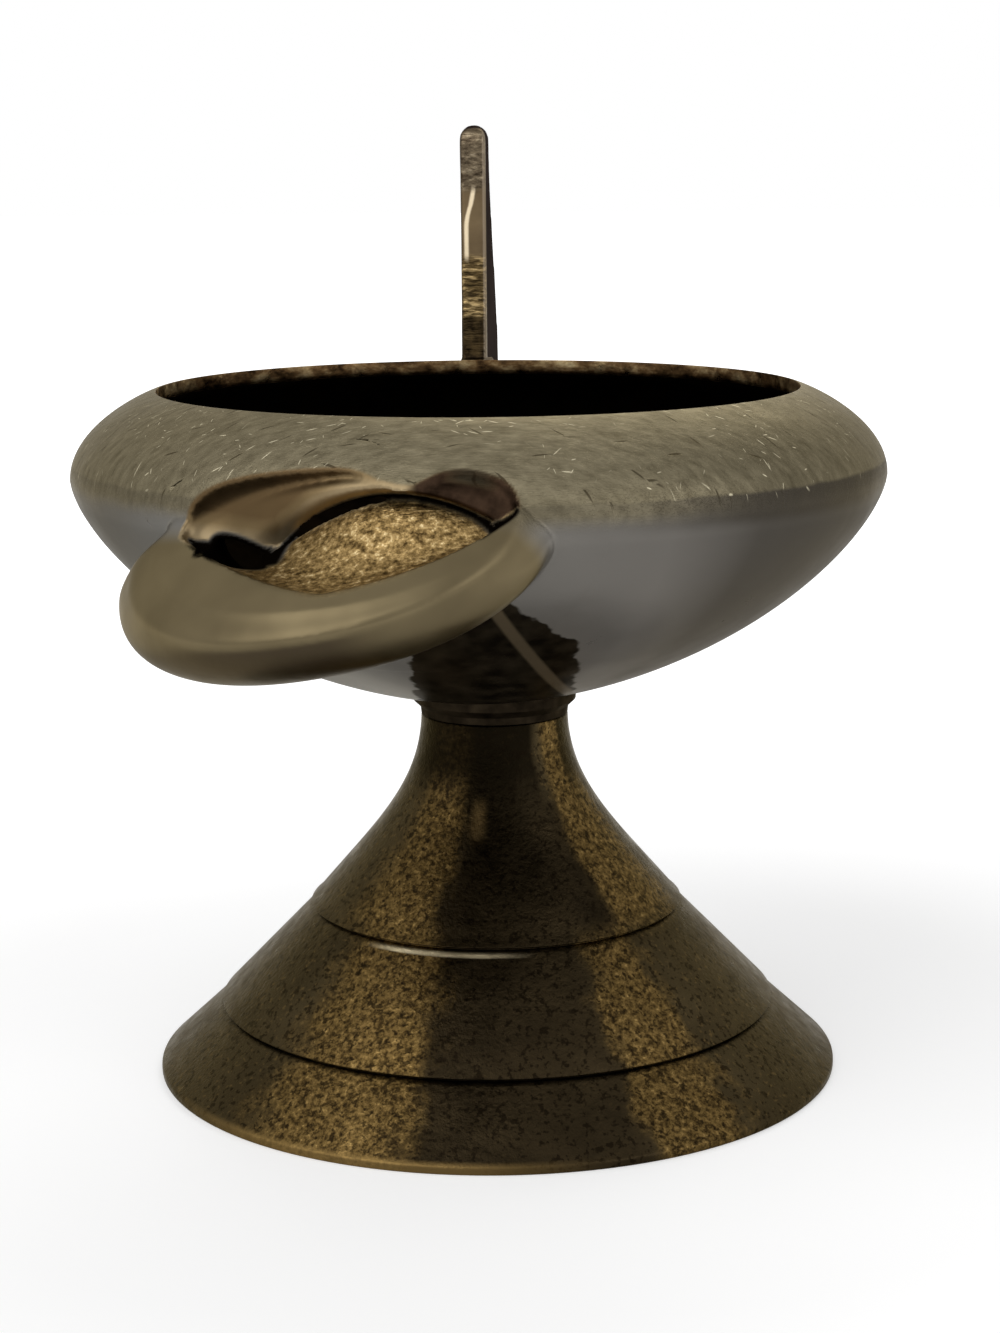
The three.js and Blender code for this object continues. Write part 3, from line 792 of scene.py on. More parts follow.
# %% Seat the nozzle on the wall and cut its window
STRIP_PROUD = 0.02
STRIP_DIP = 0.14
seated = []
for vertex in nozzle.data.vertices:
    height, near, outwards = height_over(wall_surface, vertex.co)
    from_window = height_over(window_surface, vertex.co)[0]
    level = STRIP_PROUD - STRIP_DIP * rises(0.2, 1.7, from_window)
    share = max(falls(0.05, 0.5, height), rises(-0.5, 0.6, from_window))
    share *= rises(-1.2, -0.5, height) * falls(0.8, 1.6, height)
    share *= rises(0.5, 0.8, vertex.normal.dot(outwards))
    share *= rises(0.3, 0.9, distance_to(hollow_surface, vertex.co))
    seated.extend(vertex.co.lerp(near + outwards * level * MM, share))
nozzle.data.vertices.foreach_set("co", seated)
nozzle.data.update()
combine(reservoir, window_form, "DIFFERENCE")
print("reservoir:", len(reservoir.data.polygons), "faces")

# %% [markdown]
# ## Handle
# The blade was cast flat, its edges were filed round, and it was brazed to the shoulder. A thin box could
# be bent to this outline, but a drawn outline is truer. It is filled, extruded, rounded at the top and
# bevelled. A second, larger blade near the wall is the bead of braze, and a remesh lets the two run into
# each other.

# %% Outline of the handle
HANDLE_FRONT = 42.5 * MM
HANDLE_DEPTH = 14 * MM
HANDLE_TIP_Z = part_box("handle")[1][2]
HANDLE_TIP = 2.6 * MM
HANDLE_THICKNESS = 3.4 * MM
HANDLE_TURN = math.radians(7)
HANDLE_X = BOWL_AXIS.x - 0.9 * MM
HANDLE_FACE_Y = BOWL_AXIS.y + HANDLE_FRONT
HANDLE_FOOT_Z = GIRTH_Z - 6 * MM
HANDLE_RISE = HANDLE_TIP_Z - RIM_Z


def handle_outline(grow):
    front = HANDLE_FRONT - grow
    back = HANDLE_FRONT + HANDLE_DEPTH + grow
    tip = HANDLE_TIP + grow
    tip_at = (front + 0.2 * MM + tip, HANDLE_TIP_Z - tip + grow)
    points = [(front - 2 * MM, HANDLE_FOOT_Z - grow), (front, RIM_Z - 1 * MM)]
    mid = (front + 1.4 * MM, RIM_Z + HANDLE_RISE * 0.55)
    end = (front + 0.2 * MM, tip_at[1])
    points += toward(points[1], mid, end, 16)
    for i in range(1, 17):
        angle = math.pi * (1 - i / 16)
        points.append((tip_at[0] + tip * math.cos(angle), tip_at[1] + tip * math.sin(angle)))
    points += bezier(
        points[-1],
        (front + 2 * tip + 1.4 * MM, HANDLE_TIP_Z - HANDLE_RISE * 0.45),
        (back, RIM_Z + HANDLE_RISE * 0.25),
        (back, RIM_Z - 2 * MM),
        24,
    )[1:]
    bend = (back, GIRTH_Z - 2 * MM - grow)
    low = (front + 4 * MM, HANDLE_FOOT_Z - grow)
    return points + toward(points[-1], bend, low, 12)


# %% Blade and bead
TOOL_FRONT = -5 * MM
TOOL_DEPTH = 30 * MM
TOOL_FOOT_Z = GIRTH_Z - 20 * MM
BEAD_GROW = 1.3 * MM
BEAD_ON_WALL = 1.2 * MM
HANDLE_SUNK = 0.5 * MM
HANDLE_VOXEL = 0.34 * MM


def blade(name, grow, round_over):
    """Extruded to its thickness, and cut by a slab with a round top, which rounds the tip across."""
    half = HANDLE_THICKNESS / 2 + grow
    places = [Vector((-half, y - HANDLE_FRONT, z)) for y, z in handle_outline(grow)]
    flat = slab(name, places, (2 * half, 0, 0))
    top = HANDLE_TIP_Z + grow
    arc = [math.pi * i / 16 for i in range(17)]
    round_top = [Vector((half * math.cos(a), TOOL_FRONT, top - half + half * math.sin(a))) for a in arc]
    round_top += [Vector((x, TOOL_FRONT, TOOL_FOOT_Z)) for x in (-half, half)]
    combine(flat, slab(name + "_round_top", round_top, (0, TOOL_DEPTH, 0)), "INTERSECT")
    modify(flat, "BEVEL", width=round_over, segments=4, limit_method="ANGLE", angle_limit=math.radians(50))
    placed = Matrix.Translation((HANDLE_X, HANDLE_FACE_Y, 0))
    flat.data.transform(placed @ Matrix.Rotation(-HANDLE_TURN, 4, "Z"))
    return flat


handle = blade("blade_handle", 0, 1.1 * MM)
bead = blade("handle_bead", BEAD_GROW, 0.8 * MM)
combine(bead, envelope("handle_bead_limit", BEAD_ON_WALL), "INTERSECT")
combine(handle, bead, "UNION")
combine(handle, envelope("under_handle", -HANDLE_SUNK), "DIFFERENCE")
modify(handle, "REMESH", mode="VOXEL", voxel_size=HANDLE_VOXEL, use_smooth_shade=True)
modify(handle, "SMOOTH", factor=0.5, iterations=8)
print("handle:", len(handle.data.polygons), "faces")

# %% [markdown]
# ## Finishes
# Old brass isn't one colour. Handling keeps the lip bright, oil and smoke darken what they reach, and the
# cast skin is full of tiny pits. Every finish below is brass with its own patina, and several also carry
# painted highlights, painted reflections and painted shade. Noise on Object coordinates is the base of each,
# rather than a picture laid on it, because noise has its real size everywhere and no seams.

# %% Noise, ramps and mixes
def noise_node(vector, scale, detail=2.0, roughness=0.5):
    node = add_node(vector.id_data, "TexNoise", vector, Scale=scale, Detail=detail, Roughness=roughness)
    return node.outputs["Fac"]


def ramp(source, *stops):
    """stops: (position, grey or colour)."""
    node = add_node(source.id_data, "ValToRGB", source)
    elements = node.color_ramp.elements
    while len(elements) < len(stops):
        elements.new(0.5)
    for element, (position, value) in zip(elements, stops):
        element.position = position
        element.color = colour_value(value)
    return node.outputs["Color"]


def mixed(share, a, b, kind="MIX"):
    setting = {"data_type": "RGBA", "blend_type": kind}
    node = add_node(tree_of(share, a, b), "Mix", setting=setting)
    for socket, value in ((0, share), (6, a), (7, b)):
        feed(node.inputs[socket], value)
    return node.outputs[2]


def shaded(colour, by):
    return mixed(1.0, colour, by, "MULTIPLY")


def coats(colour, *layers):
    """layers: where, how strongly from 0 to 1, and what is laid over the colour so far."""
    for where, strength, paint in layers:
        colour = mixed(where if strength == 1 else times(where, strength), colour, paint)
    return colour


def stretched(vector, turn, scale):
    return add_node(vector.id_data, "Mapping", vector, Rotation=turn, Scale=scale).outputs["Vector"]


# %% Places, edges and windows
def part_of(vector, axis):
    return add_node(vector.id_data, "SeparateXYZ", vector).outputs[axis]


def height_of(vector):
    return part_of(vector, "Z")


def azimuth(vector, axis):
    """Degrees round an upright axis: 0 in front, positive to the viewer's right."""
    across = minus(part_of(vector, "X"), axis.x)
    forward = minus(axis.y, part_of(vector, "Y"))
    return times(math_node("ARCTAN2", across, forward), 180 / math.pi)


def band(source, low, high):
    """0 below low, 1 above high."""
    setting = {"interpolation_type": "SMOOTHSTEP"}
    node = add_node(source.id_data, "MapRange", source, setting=setting, From_Min=low, From_Max=high)
    return node.outputs["Result"]


def window(source, low, high, soft):
    """1 between low and high, with soft edges."""
    return minus(band(source, low - soft, low + soft), band(source, high - soft, high + soft))


def wandering(vector, scale, reach, detail=3.0):
    """Noise between minus and plus reach, to make an edge uneven."""
    return times(minus(noise_node(vector, scale, detail), 0.5), 2 * reach)


# %% Scratches and nicks
def scratches(vector, width, length, turns, sharp):
    """Short fine lines in several directions: noise drawn out thin, of which only the crests are kept."""
    total = None
    for i, turn in enumerate(turns):
        moved = stretched(vector, (0.3 * i, 0.2 * i, turn), (1 / length, 1 / width, 1 / width))
        line = ramp(noise_node(moved, 1.0, 1.0), (sharp, 0.0), (sharp + 0.05, 1.0))
        total = larger(total, line) if total else line
    return total


def nicks(vector, spacing, length, width, share, turn=(0.0, math.pi)):
    """Separate small cuts: each cell of a Voronoi pattern may hold one, turned its own way about Z."""
    tree = vector.id_data
    cells = add_node(tree, "TexVoronoi", vector, Scale=1 / spacing).outputs
    lot = add_node(tree, "SeparateColor", cells["Color"]).outputs
    angle = plus(times(lot[0], turn[1] - turn[0]), turn[0])
    offset = vector_math("SUBTRACT", vector, cells["Position"])["Vector"]
    turned_by = add_node(tree, "VectorRotate", offset, setting={"rotation_type": "Z_AXIS"}, Angle=angle)
    size = (2 / length, 2 / width, 1 / spacing)
    away = vector_math("LENGTH", vector_math("MULTIPLY", turned_by.outputs[0], size)["Vector"])["Value"]
    return times(minus(1.0, band(away, 0.5, 1.0)), band(lot[1], 1 - share, 1.02 - share))


# %% The brass shader
BRASS_TINT = (0.66, 0.62, 0.54, 1)


def brass(name, colour_of, rough_of, bump_of, bump_depth, metal_of=None):
    """metal_of: where dirt or tarnish lies so thick that it hides the metal, its value is below 1."""
    material, tree = node_tree(name)
    place = add_node(tree, "TexCoord").outputs["Object"]
    bump = add_node(tree, "Bump", Strength=1.0, Distance=bump_depth, Height=bump_of(place))
    shader = add_node(
        tree, "BsdfPrincipled", Metallic=1.0, Base_Color=colour_of(place), Roughness=rough_of(place),
        Normal=bump.outputs["Normal"], Specular_IOR_Level=0.0,
    )
    shader.inputs["Specular Tint"].default_value = BRASS_TINT
    if metal_of:
        feed(shader.inputs["Metallic"], metal_of(place))
    add_node(tree, "OutputMaterial", shader.outputs["BSDF"])
    print(name, "has", len(tree.nodes), "nodes")
    return material


# %% [markdown]
# ### Foot finish
# The foot has the roughest cast skin: olive brown and pitted. Its golden bands are painted reflections, and
# its nearly black front and neck are a painted dark reflection, darkest in painted shade under the reservoir.
# The zones could be painted by hand. Windows on the direction that the skin faces do the same, noise makes
# their edges uneven, and flecks, pits and a dark line in the lower turned line are laid over them, with a
# painted highlight on the upper turned line and on the bottom edge and a painted glow on the flare.

# %% Zones of the foot
def foot_reflection_zones(place):
    """Where the foot gets painted golden reflections and a painted dark reflection, by the direction it
    faces. Angles in degrees.
    """
    drawn_out = stretched(place, (0, 0, 0), (1, 1, 0.3))
    angle = plus(azimuth(place, FOOT_AXIS), wandering(drawn_out, 260, 9))
    height = height_of(place)
    on_flare = band(height, 19 * MM, 23 * MM)
    on_neck = band(height, 33 * MM, 39 * MM)
    # painted reflections: golden bands to the sides and a nearly black front and neck, by azimuth
    black = mixed(on_flare, window(angle, -15, 25, 4.5), window(angle, -19, 40, 4))
    black = mixed(on_neck, black, minus(1.0, window(angle, 30, 56, 4)))
    gold_right = larger(window(angle, 24, 44, 3), window(angle, 120, 150, 18))
    gold_skirt = larger(window(angle, -44, -13, 7), gold_right)
    gold_flare = larger(window(angle, -50, -18, 9), window(angle, 38, 76, 6))
    return mixed(on_flare, gold_skirt, gold_flare), black


# %% Foot finish: pitted, golden in places, nearly black in front
def foot_colour(place):
    height = height_of(place)
    angle = azimuth(place, FOOT_AXIS)
    painted_gold_reflection, painted_dark_reflection = foot_reflection_zones(place)
    cloud = noise_node(place, 60, 4, 0.6)
    olive = ramp(cloud, (0.35, (42, 35, 22)), (0.65, (60, 51, 34)))
    grain = noise_node(place, 1500, 4, 0.7)
    gold = ramp(
        grain, (0.38, (44, 33, 16)), (0.5, (82, 65, 35)), (0.62, (108, 87, 50)), (0.74, (150, 124, 76))
    )
    black = ramp(cloud, (0.35, (26, 21, 13)), (0.6, (46, 38, 25)), (0.75, (58, 49, 33)))
    # painted shade: near its top the neck turns nearly black under the reservoir
    black = mixed(band(height, 30 * MM, 40 * MM), black, (12, 9, 5))
    fleck = band(noise_node(place, 1300, 3, 0.65), 0.56, 0.70)
    pit = ramp(noise_node(place, 1150, 2, 0.7), (0.38, 1.0), (0.46, 0.0))
    # painted highlight: a small soft golden glow on the front of the flare near the neck
    spot = times(window(angle, -13, -6, 3), window(height, 31.5 * MM, 35 * MM, 1.2 * MM))
    groove = window(height, LINE_LOWER[1] - 0.25 * MM, LINE_LOWER[1] + 0.3 * MM, 0.2 * MM)
    # painted highlight along the upper turned line, in front and to the left
    upper_line_highlight = window(height, LINE_UPPER[1] - 0.75 * MM, LINE_UPPER[1] - 0.3 * MM, 0.12 * MM)
    upper_line_highlight = times(upper_line_highlight, window(angle, -34, 4, 8))
    # painted highlight along the bottom edge, in front and to the left
    edge = times(band(height, 1.5 * MM, 0.9 * MM), window(angle, -55, 5, 15))
    return coats(
        olive,
        (painted_gold_reflection, 0.9, gold),
        (fleck, 0.35, (104, 84, 50)),
        (painted_dark_reflection, 0.92, black),
        (pit, 0.75, (18, 13, 7)),
        (spot, 0.55, (120, 98, 62)),
        (groove, 0.8, (14, 10, 6)),
        (upper_line_highlight, 0.8, (204, 190, 156)),
        (edge, 0.5, (128, 104, 62)),
    )


def foot_rough(place):
    return ramp(noise_node(place, 420, 4, 0.6), (0.3, 0.26), (0.7, 0.44))


def foot_bump(place):
    return plus(noise_node(place, 1500, 4, 0.65), times(noise_node(place, 260, 2), 0.6))


foot_finish = brass("dark_pitted_brass", foot_colour, foot_rough, foot_bump, 0.10 * MM)

# %% [markdown]
# ### Reservoir finish
# The shoulder is dull and scratched and the underside is smooth and grey. In front a painted dark reflection
# of the neck climbs from it to a point, with a painted light stripe in it. The underside is painted lighter
# across the front and towards the bottom, a painted dark reflection lies just under the widest ring, and the
# shoulder gets painted shade to the sides. They could be separate materials, but they meet in soft lines, so
# one finish tells them apart by height and by the direction they face. The larger scratches are single cuts,
# one to a cell of a Voronoi pattern.

# %% Painted reflection of the neck, in front above it
NECK_REFLECTION_TOP = 66 * MM
NECK_REFLECTION_HALF = 9.2 * MM
NECK_REFLECTION_SPREAD = 1.35
REFLECTED_STRIPE_LEAN = 0.6
REFLECTED_STRIPE = (-1.9 * MM, -0.3 * MM)


def neck_reflection(place):
    """Painted dark reflection of the neck that runs up from it to a point, with uneven edges, and a painted
    light stripe in it.
    """
    drop = minus(NECK_REFLECTION_TOP, height_of(place))
    half = math_node("MINIMUM", times(drop, NECK_REFLECTION_SPREAD), NECK_REFLECTION_HALF)
    across = minus(part_of(place, "X"), FOOT_AXIS.x)
    edge = plus(minus(math_node("ABSOLUTE", across), half), wandering(place, 420, 1.6 * MM, 2))
    in_front = window(azimuth(place, BOWL_AXIS), -80, 80, 5)
    dark = times(minus(1.0, band(edge, -0.4 * MM, 0.3 * MM)), in_front)
    reflected_stripe = minus(across, times(drop, REFLECTED_STRIPE_LEAN))
    return dark, times(window(reflected_stripe, *REFLECTED_STRIPE, 0.3 * MM), dark)


# %% Underside, smooth and grey
def turn_share(place):
    """0 to 1 once round the reservoir, starting behind, with 0.5 in front."""
    return times(plus(azimuth(place, BOWL_AXIS), 180), 1 / 360)


def under_colour(place):
    # painted light: the underside is lighter across the front, most on the left, and darker to the right and
    # behind
    light = ramp(
        turn_share(place),
        (0.1, (82, 78, 72)), (0.32, (92, 90, 86)), (0.41, (142, 140, 135)), (0.5, (134, 131, 125)),
        (0.57, (128, 124, 118)), (0.61, (88, 84, 78)), (0.8, (82, 78, 72)),
    )
    grey = shaded(light, ramp(noise_node(place, 45, 4, 0.55), (0.3, 0.86), (0.7, 1.0)))
    # painted reflection: the underside gets lighter towards the bottom
    level = times(minus(height_of(place), SEAT_Z), 1 / BOWL_DEPTH)
    paler_low = times(ramp(level, (0.1, 1.0), (0.35, 0.66), (0.55, 0.6), (0.9, 0.5)), 1.8)
    dark, reflected_stripe = neck_reflection(place)
    brown = ramp(noise_node(place, 330, 3), (0.35, (22, 18, 13)), (0.7, (54, 47, 36)))
    return coats(shaded(grey, paler_low), (dark, 1, brown), (reflected_stripe, 0.8, (112, 99, 78)))


# %% Reservoir finish: scratched and dull above, smooth and grey below
def upper_part(place, below=2 * MM, above=2 * MM):
    """0 on the underside, 1 on the shoulder."""
    return band(height_of(place), GIRTH_Z - below, GIRTH_Z + above)


def dents(place):
    return nicks(place, 3.0 * MM, 2.4 * MM, 0.28 * MM, 0.42, (-0.5, 0.7))


def shoulder_colour(place):
    cloud = noise_node(place, 45, 4, 0.55)
    fine = noise_node(stretched(place, (0, 0, 0.4), (1, 3, 1)), 420, 4, 0.65)
    # painted shade: the shoulder is darker to the sides and behind than in front, most on the right
    shade = ramp(
        turn_share(place), (0.2, 0.8), (0.36, 0.86), (0.46, 1.0), (0.55, 1.0), (0.61, 0.74), (0.75, 0.8)
    )
    clouded = ramp(cloud, (0.3, (98, 91, 73)), (0.7, (116, 108, 87)))
    brushed = ramp(fine, (0.3, (78, 71, 55)), (0.7, (140, 131, 108)))
    return shaded(mixed(0.5, clouded, brushed), shade)


def bowl_colour(place):
    height = plus(height_of(place), wandering(place, 160, 0.35 * MM))
    on_shoulder = band(height, GIRTH_Z - 1.2 * MM, GIRTH_Z + 1.0 * MM)
    # painted dark reflection: a dark line just under the widest ring, strongest on the right
    line_from = band(height, GIRTH_Z - 2.2 * MM, GIRTH_Z - 0.4 * MM)
    line_to = band(height, GIRTH_Z + 1.6 * MM, GIRTH_Z + 2.1 * MM)
    line_strength = mixed(window(azimuth(place, BOWL_AXIS), 28, 150, 14), 0.3, 0.95)
    on_top = band(height, GIRTH_Z + 0.8 * MM, GIRTH_Z + 2.2 * MM)
    long_cuts = nicks(place, 2.1 * MM, 1.5 * MM, 0.15 * MM, 0.4, (-0.9, 0.6))
    short_cuts = nicks(place, 1.3 * MM, 0.7 * MM, 0.12 * MM, 0.35)
    clusters = band(noise_node(place, 95, 2), 0.44, 0.6)
    return coats(
        mixed(on_shoulder, under_colour(place), shoulder_colour(place)),
        (times(minus(line_from, line_to), line_strength), 1, (60, 56, 50)),
        (times(dents(place), on_top), 0.75, (50, 43, 30)),
        (times(larger(long_cuts, short_cuts), clusters, on_top), 0.8, (206, 197, 170)),
    )


def bowl_rough(place):
    level = ramp(upper_part(place), (0.0, 0.32), (1.0, 0.46))
    return times(level, ramp(noise_node(place, 180, 4, 0.6), (0.3, 0.85), (0.7, 1.15)))


def bowl_bump(place):
    scratch = scratches(place, 0.22 * MM, 4.5 * MM, (0.1, 0.9, 1.7, 2.6), 0.62)
    rough = plus(minus(noise_node(place, 700, 3, 0.6), dents(place)), times(scratch, 0.6))
    return mixed(upper_part(place), times(noise_node(place, 75, 2), 4.0), rough)


def bowl_metal(place):
    return ramp(upper_part(place, 3 * MM, 1 * MM), (0.0, 0.45), (1.0, 1.0))


bowl_finish = brass("grey_worn_brass", bowl_colour, bowl_rough, bowl_bump, 0.05 * MM, bowl_metal)

# %% [markdown]
# ### Soot, rim and solder
# Burnt oil has left the inside nearly black, hands have rubbed the rim golden brown, and solder dulls to a
# dark brown. None of them needs more than one noise for its colour, one for its gloss and one for its
# grain.

# %% Sooted inside of the reservoir
def soot_colour(place):
    return ramp(noise_node(place, 240, 4, 0.6), (0.3, (7, 5, 3)), (0.75, (24, 17, 9)))


def soot_rough(place):
    return ramp(noise_node(place, 300, 3), (0.3, 0.55), (0.7, 0.8))


def soot_bump(place):
    return noise_node(place, 500, 4, 0.65)


soot_finish = brass("oil_sooted_brass", soot_colour, soot_rough, soot_bump, 0.08 * MM)


# %% Rim finish: rubbed golden brown
def rim_colour(place):
    patches = noise_node(stretched(place, (0, 0, 0), (1, 1, 2)), 230, 4, 0.7)
    return ramp(
        patches, (0.35, (40, 27, 16)), (0.5, (104, 80, 52)), (0.62, (150, 128, 92)), (0.75, (196, 178, 138))
    )


def rim_rough(place):
    return ramp(noise_node(place, 500, 3), (0.3, 0.25), (0.7, 0.5))


rim_finish = brass("rubbed_rim_brass", rim_colour, rim_rough, soot_bump, 0.08 * MM)


# %% Solder finish
def solder_colour(place):
    return ramp(noise_node(place, 500, 3), (0.3, (24, 19, 13)), (0.7, (50, 42, 31)))


solder_finish = brass("dull_solder", solder_colour, soot_rough, soot_bump, 0.06 * MM)

# %% [markdown]
# ### Nozzle finish
# The nozzle is rubbed smooth outside, rough and golden on the floor of its mouth, and black with soot where
# the flame stood. Painted shade darkens it under its lip, in the crease and round the slot of its mouth, up
# its roof and to the left of its floor. Height alone can't tell these places apart, so the finish reads
# masks, one number for each point of the mesh, which are worked out further down. Where a mask is 0, the
# reservoir's own finish runs on.

# %% Nozzle finish: rubbed smooth outside, rough gold inside the mouth
def mask(place, name):
    return add_node(place.id_data, "Attribute", setting={"attribute_name": name}).outputs["Fac"]


def nozzle_colour(place):
    rubbed = ramp(noise_node(place, 90, 3, 0.5), (0.3, (92, 82, 61)), (0.7, (108, 97, 73)))
    # painted shade: the roof is light near the slot and darkens higher up
    level = plus(mask(place, "high_up"), wandering(place, 150, 0.25))
    roof_painted_shade = ramp(
        level, (0.0, (150, 132, 100)), (0.2, (138, 122, 94)), (0.55, (104, 88, 62)), (0.9, (84, 68, 46))
    )
    brown = ramp(noise_node(place, 330, 4, 0.6), (0.3, (24, 16, 10)), (0.7, (62, 47, 36)))
    gold = ramp(
        noise_node(place, 1300, 4, 0.7),
        (0.34, (66, 50, 27)), (0.48, (132, 108, 67)), (0.6, (180, 152, 102)), (0.7, (240, 218, 168)),
    )
    # painted shade: the floor of the mouth gets darker towards its left
    painted_left_shade = ramp(turn_share(place), (0.41, 0.62), (0.45, 0.85), (0.48, 1.0))
    return coats(
        bowl_colour(place),
        (mask(place, "rubbed"), 1, rubbed),
        (mask(place, "painted_under_shade"), 0.8, (62, 53, 42)),
        (mask(place, "roof"), 1, roof_painted_shade),
        (mask(place, "facet"), 1, brown),
        (mask(place, "cast_floor"), 1, shaded(gold, painted_left_shade)),
        (mask(place, "soot_and_shade"), 1, (8, 5, 3)),
    )


def nozzle_rough(place):
    smooth = ramp(noise_node(place, 200, 3), (0.3, 0.34), (0.7, 0.42))
    return coats(
        bowl_rough(place),
        (mask(place, "rubbed"), 1, smooth),
        (mask(place, "cast_floor"), 1, 0.40),
        (mask(place, "soot_and_shade"), 1, 0.75),
    )


def nozzle_bump(place):
    rough = times(noise_node(place, 1100, 4, 0.7), mask(place, "cast_floor"), 3.0)
    calm = larger(mask(place, "rubbed"), mask(place, "roof"))
    return plus(rough, mixed(calm, bowl_bump(place), times(noise_node(place, 110, 2), 2.0)))


def nozzle_metal(place):
    bare = mixed(mask(place, "rubbed"), bowl_metal(place), 1.0)
    return times(bare, minus(1.0, mask(place, "soot_and_shade")))


nozzle_finish = brass(
    "rubbed_nozzle_brass", nozzle_colour, nozzle_rough, nozzle_bump, 0.05 * MM, nozzle_metal
)

# %% [markdown]
# ### Handle finish
# The blade's broad sides are dark. Its narrow front was filed, and it changes with height: dark at the joint,
# then golden with file marks, then smooth with one bright painted glint, and scratched at the top. One finish
# lays these over each other by height, since each runs into the next. Along the front's left edge it paints
# shade, and along its right edge a thin highlight.

# %% Handle finish: brown casting, its front edge filed, scratched and worn by turns
GOLD_FROM = (89.0 * MM, 90.2 * MM)
FILED_FROM = (96.8 * MM, 98.2 * MM)
TOP_FROM = (105.8 * MM, 107.4 * MM)
GLINT_LEFT = 0.8 * MM


def handle_side(place):
    """1 on the blade's broad sides, 0 on its narrow front."""
    return band(part_of(place, "Y"), HANDLE_FACE_Y + 0.9 * MM, HANDLE_FACE_Y + 1.6 * MM)


def file_marks(place):
    return noise_node(stretched(place, (0, 0.35, 0), (0.35, 1, 1.6)), 1300, 3, 0.6)


def handle_colour(place):
    height = plus(height_of(place), wandering(place, 500, 0.6 * MM))
    across = minus(part_of(place, "X"), HANDLE_X)
    dark = ramp(noise_node(place, 600, 3), (0.4, (24, 18, 11)), (0.7, (76, 62, 40)))
    gold = ramp(file_marks(place), (0.36, (52, 42, 26)), (0.52, (98, 81, 52)), (0.7, (190, 164, 116)))
    filed = ramp(noise_node(place, 200, 3), (0.3, (92, 77, 57)), (0.7, (110, 94, 70)))
    # painted highlight: a bright glint down the smooth filed part, near its left edge
    bend = times(band(height, 101.5 * MM, 107 * MM), 1.0 * MM)
    beside = math_node("ABSOLUTE", minus(plus(across, GLINT_LEFT), bend))
    filed = mixed(minus(1.0, band(beside, 0.12 * MM, 0.42 * MM)), filed, (226, 208, 176))
    marks = noise_node(stretched(place, (0, 0, 0), (0.6, 1, 1.8)), 1000, 4, 0.65)
    top = ramp(marks, (0.35, (62, 52, 40)), (0.55, (104, 92, 74)), (0.72, (158, 144, 120)))
    side = ramp(noise_node(place, 120, 3), (0.3, (30, 23, 23)), (0.7, (44, 35, 34)))
    return coats(
        dark,
        (band(height, *GOLD_FROM), 1, gold),
        (band(height, *FILED_FROM), 1, filed),
        (band(height, *TOP_FROM), 1, top),
        # painted shade along the front's left edge, and a thin painted highlight along its right edge
        (minus(1.0, band(across, -1.55 * MM, -1.15 * MM)), 0.75, (46, 39, 31)),
        (band(across, 1.3 * MM, 1.5 * MM), 0.6, (128, 116, 100)),
        (handle_side(place), 1, side),
    )


def handle_rough(place):
    front = ramp(noise_node(place, 350, 3), (0.3, 0.28), (0.7, 0.42))
    return mixed(handle_side(place), front, 0.6)


def handle_metal(place):
    return ramp(handle_side(place), (0.0, 1.0), (1.0, 0.2))


def handle_bump(place):
    cast = noise_node(stretched(place, (0, 0, 0), (1, 1, 1.5)), 900, 4, 0.6)
    height = height_of(place)
    marked = mixed(band(height, *TOP_FROM), file_marks(place), cast)
    calm = larger(window(height, 97.5 * MM, 106.6 * MM, 0.7 * MM), handle_side(place))
    return mixed(calm, marked, times(cast, 0.2))


handle_finish = brass("brown_handle_brass", handle_colour, handle_rough, handle_bump, 0.12 * MM, handle_metal)

# %% [markdown]
# ## Where each finish goes
# The reservoir takes three finishes, chosen face by face: outside, rim and the inside black with soot. The
# nozzle's one finish reads seven masks, such as how rubbed it is, the rough floor of its mouth, and the soot
# and painted shade in its depth. They could be painted with a brush. Here each point's numbers are worked
# out from where it lies in the mouth.

# %% Creases and slot of the mouth
to_nozzle = nozzle_frame.inverted()
RIGHT_END, LEFT_END = 0, NOZZLE_SIDES // 2
throat_to_lip = [ring(between(FUNNEL, 1 + i / 16)) for i in range(17)]
crease_ends = [places[i] for places in throat_to_lip for i in (RIGHT_END, LEFT_END)]
crease = KDTree(len(crease_ends))
for i, place in enumerate(crease_ends):
    crease.insert(place, i)
crease.balance()
slot_line = [throat_to_lip[-1][RIGHT_END], *throat_to_lip[0][:LEFT_END + 1], throat_to_lip[-1][LEFT_END]]
slot_line = sorted(tuple(to_nozzle @ place / MM)[1:] for place in slot_line)


def slot_height(across):
    """Height of the slot's upper edge at this place across the nozzle."""
    for (left, low), (right, high) in zip(slot_line, slot_line[1:]):
        if left <= across <= right:
            return low + (high - low) * (across - left) / max(right - left, 1e-9)
    return slot_line[0][1] if across < slot_line[0][0] else slot_line[-1][1]


print("slot from", round(slot_line[0][0], 1), "to", round(slot_line[-1][0], 1), "mm across")

# %% Masks on the nozzle
# Each pair is where a mask starts to change and where the change ends, in mm.
ON_WALL = (0.25, 0.6)
THROAT_OUT = (45.2, 46.2)
HOLE_ACROSS = (-6.9, -5.9)
HOLE_OUT = (49.8, 50.8)
FACET_ACROSS = (6.6, 8.0)
RUBBED_HEIGHT = (0.3, 3.2)
MOUTH_LEAN = math.radians(MOUTH["tilt"])


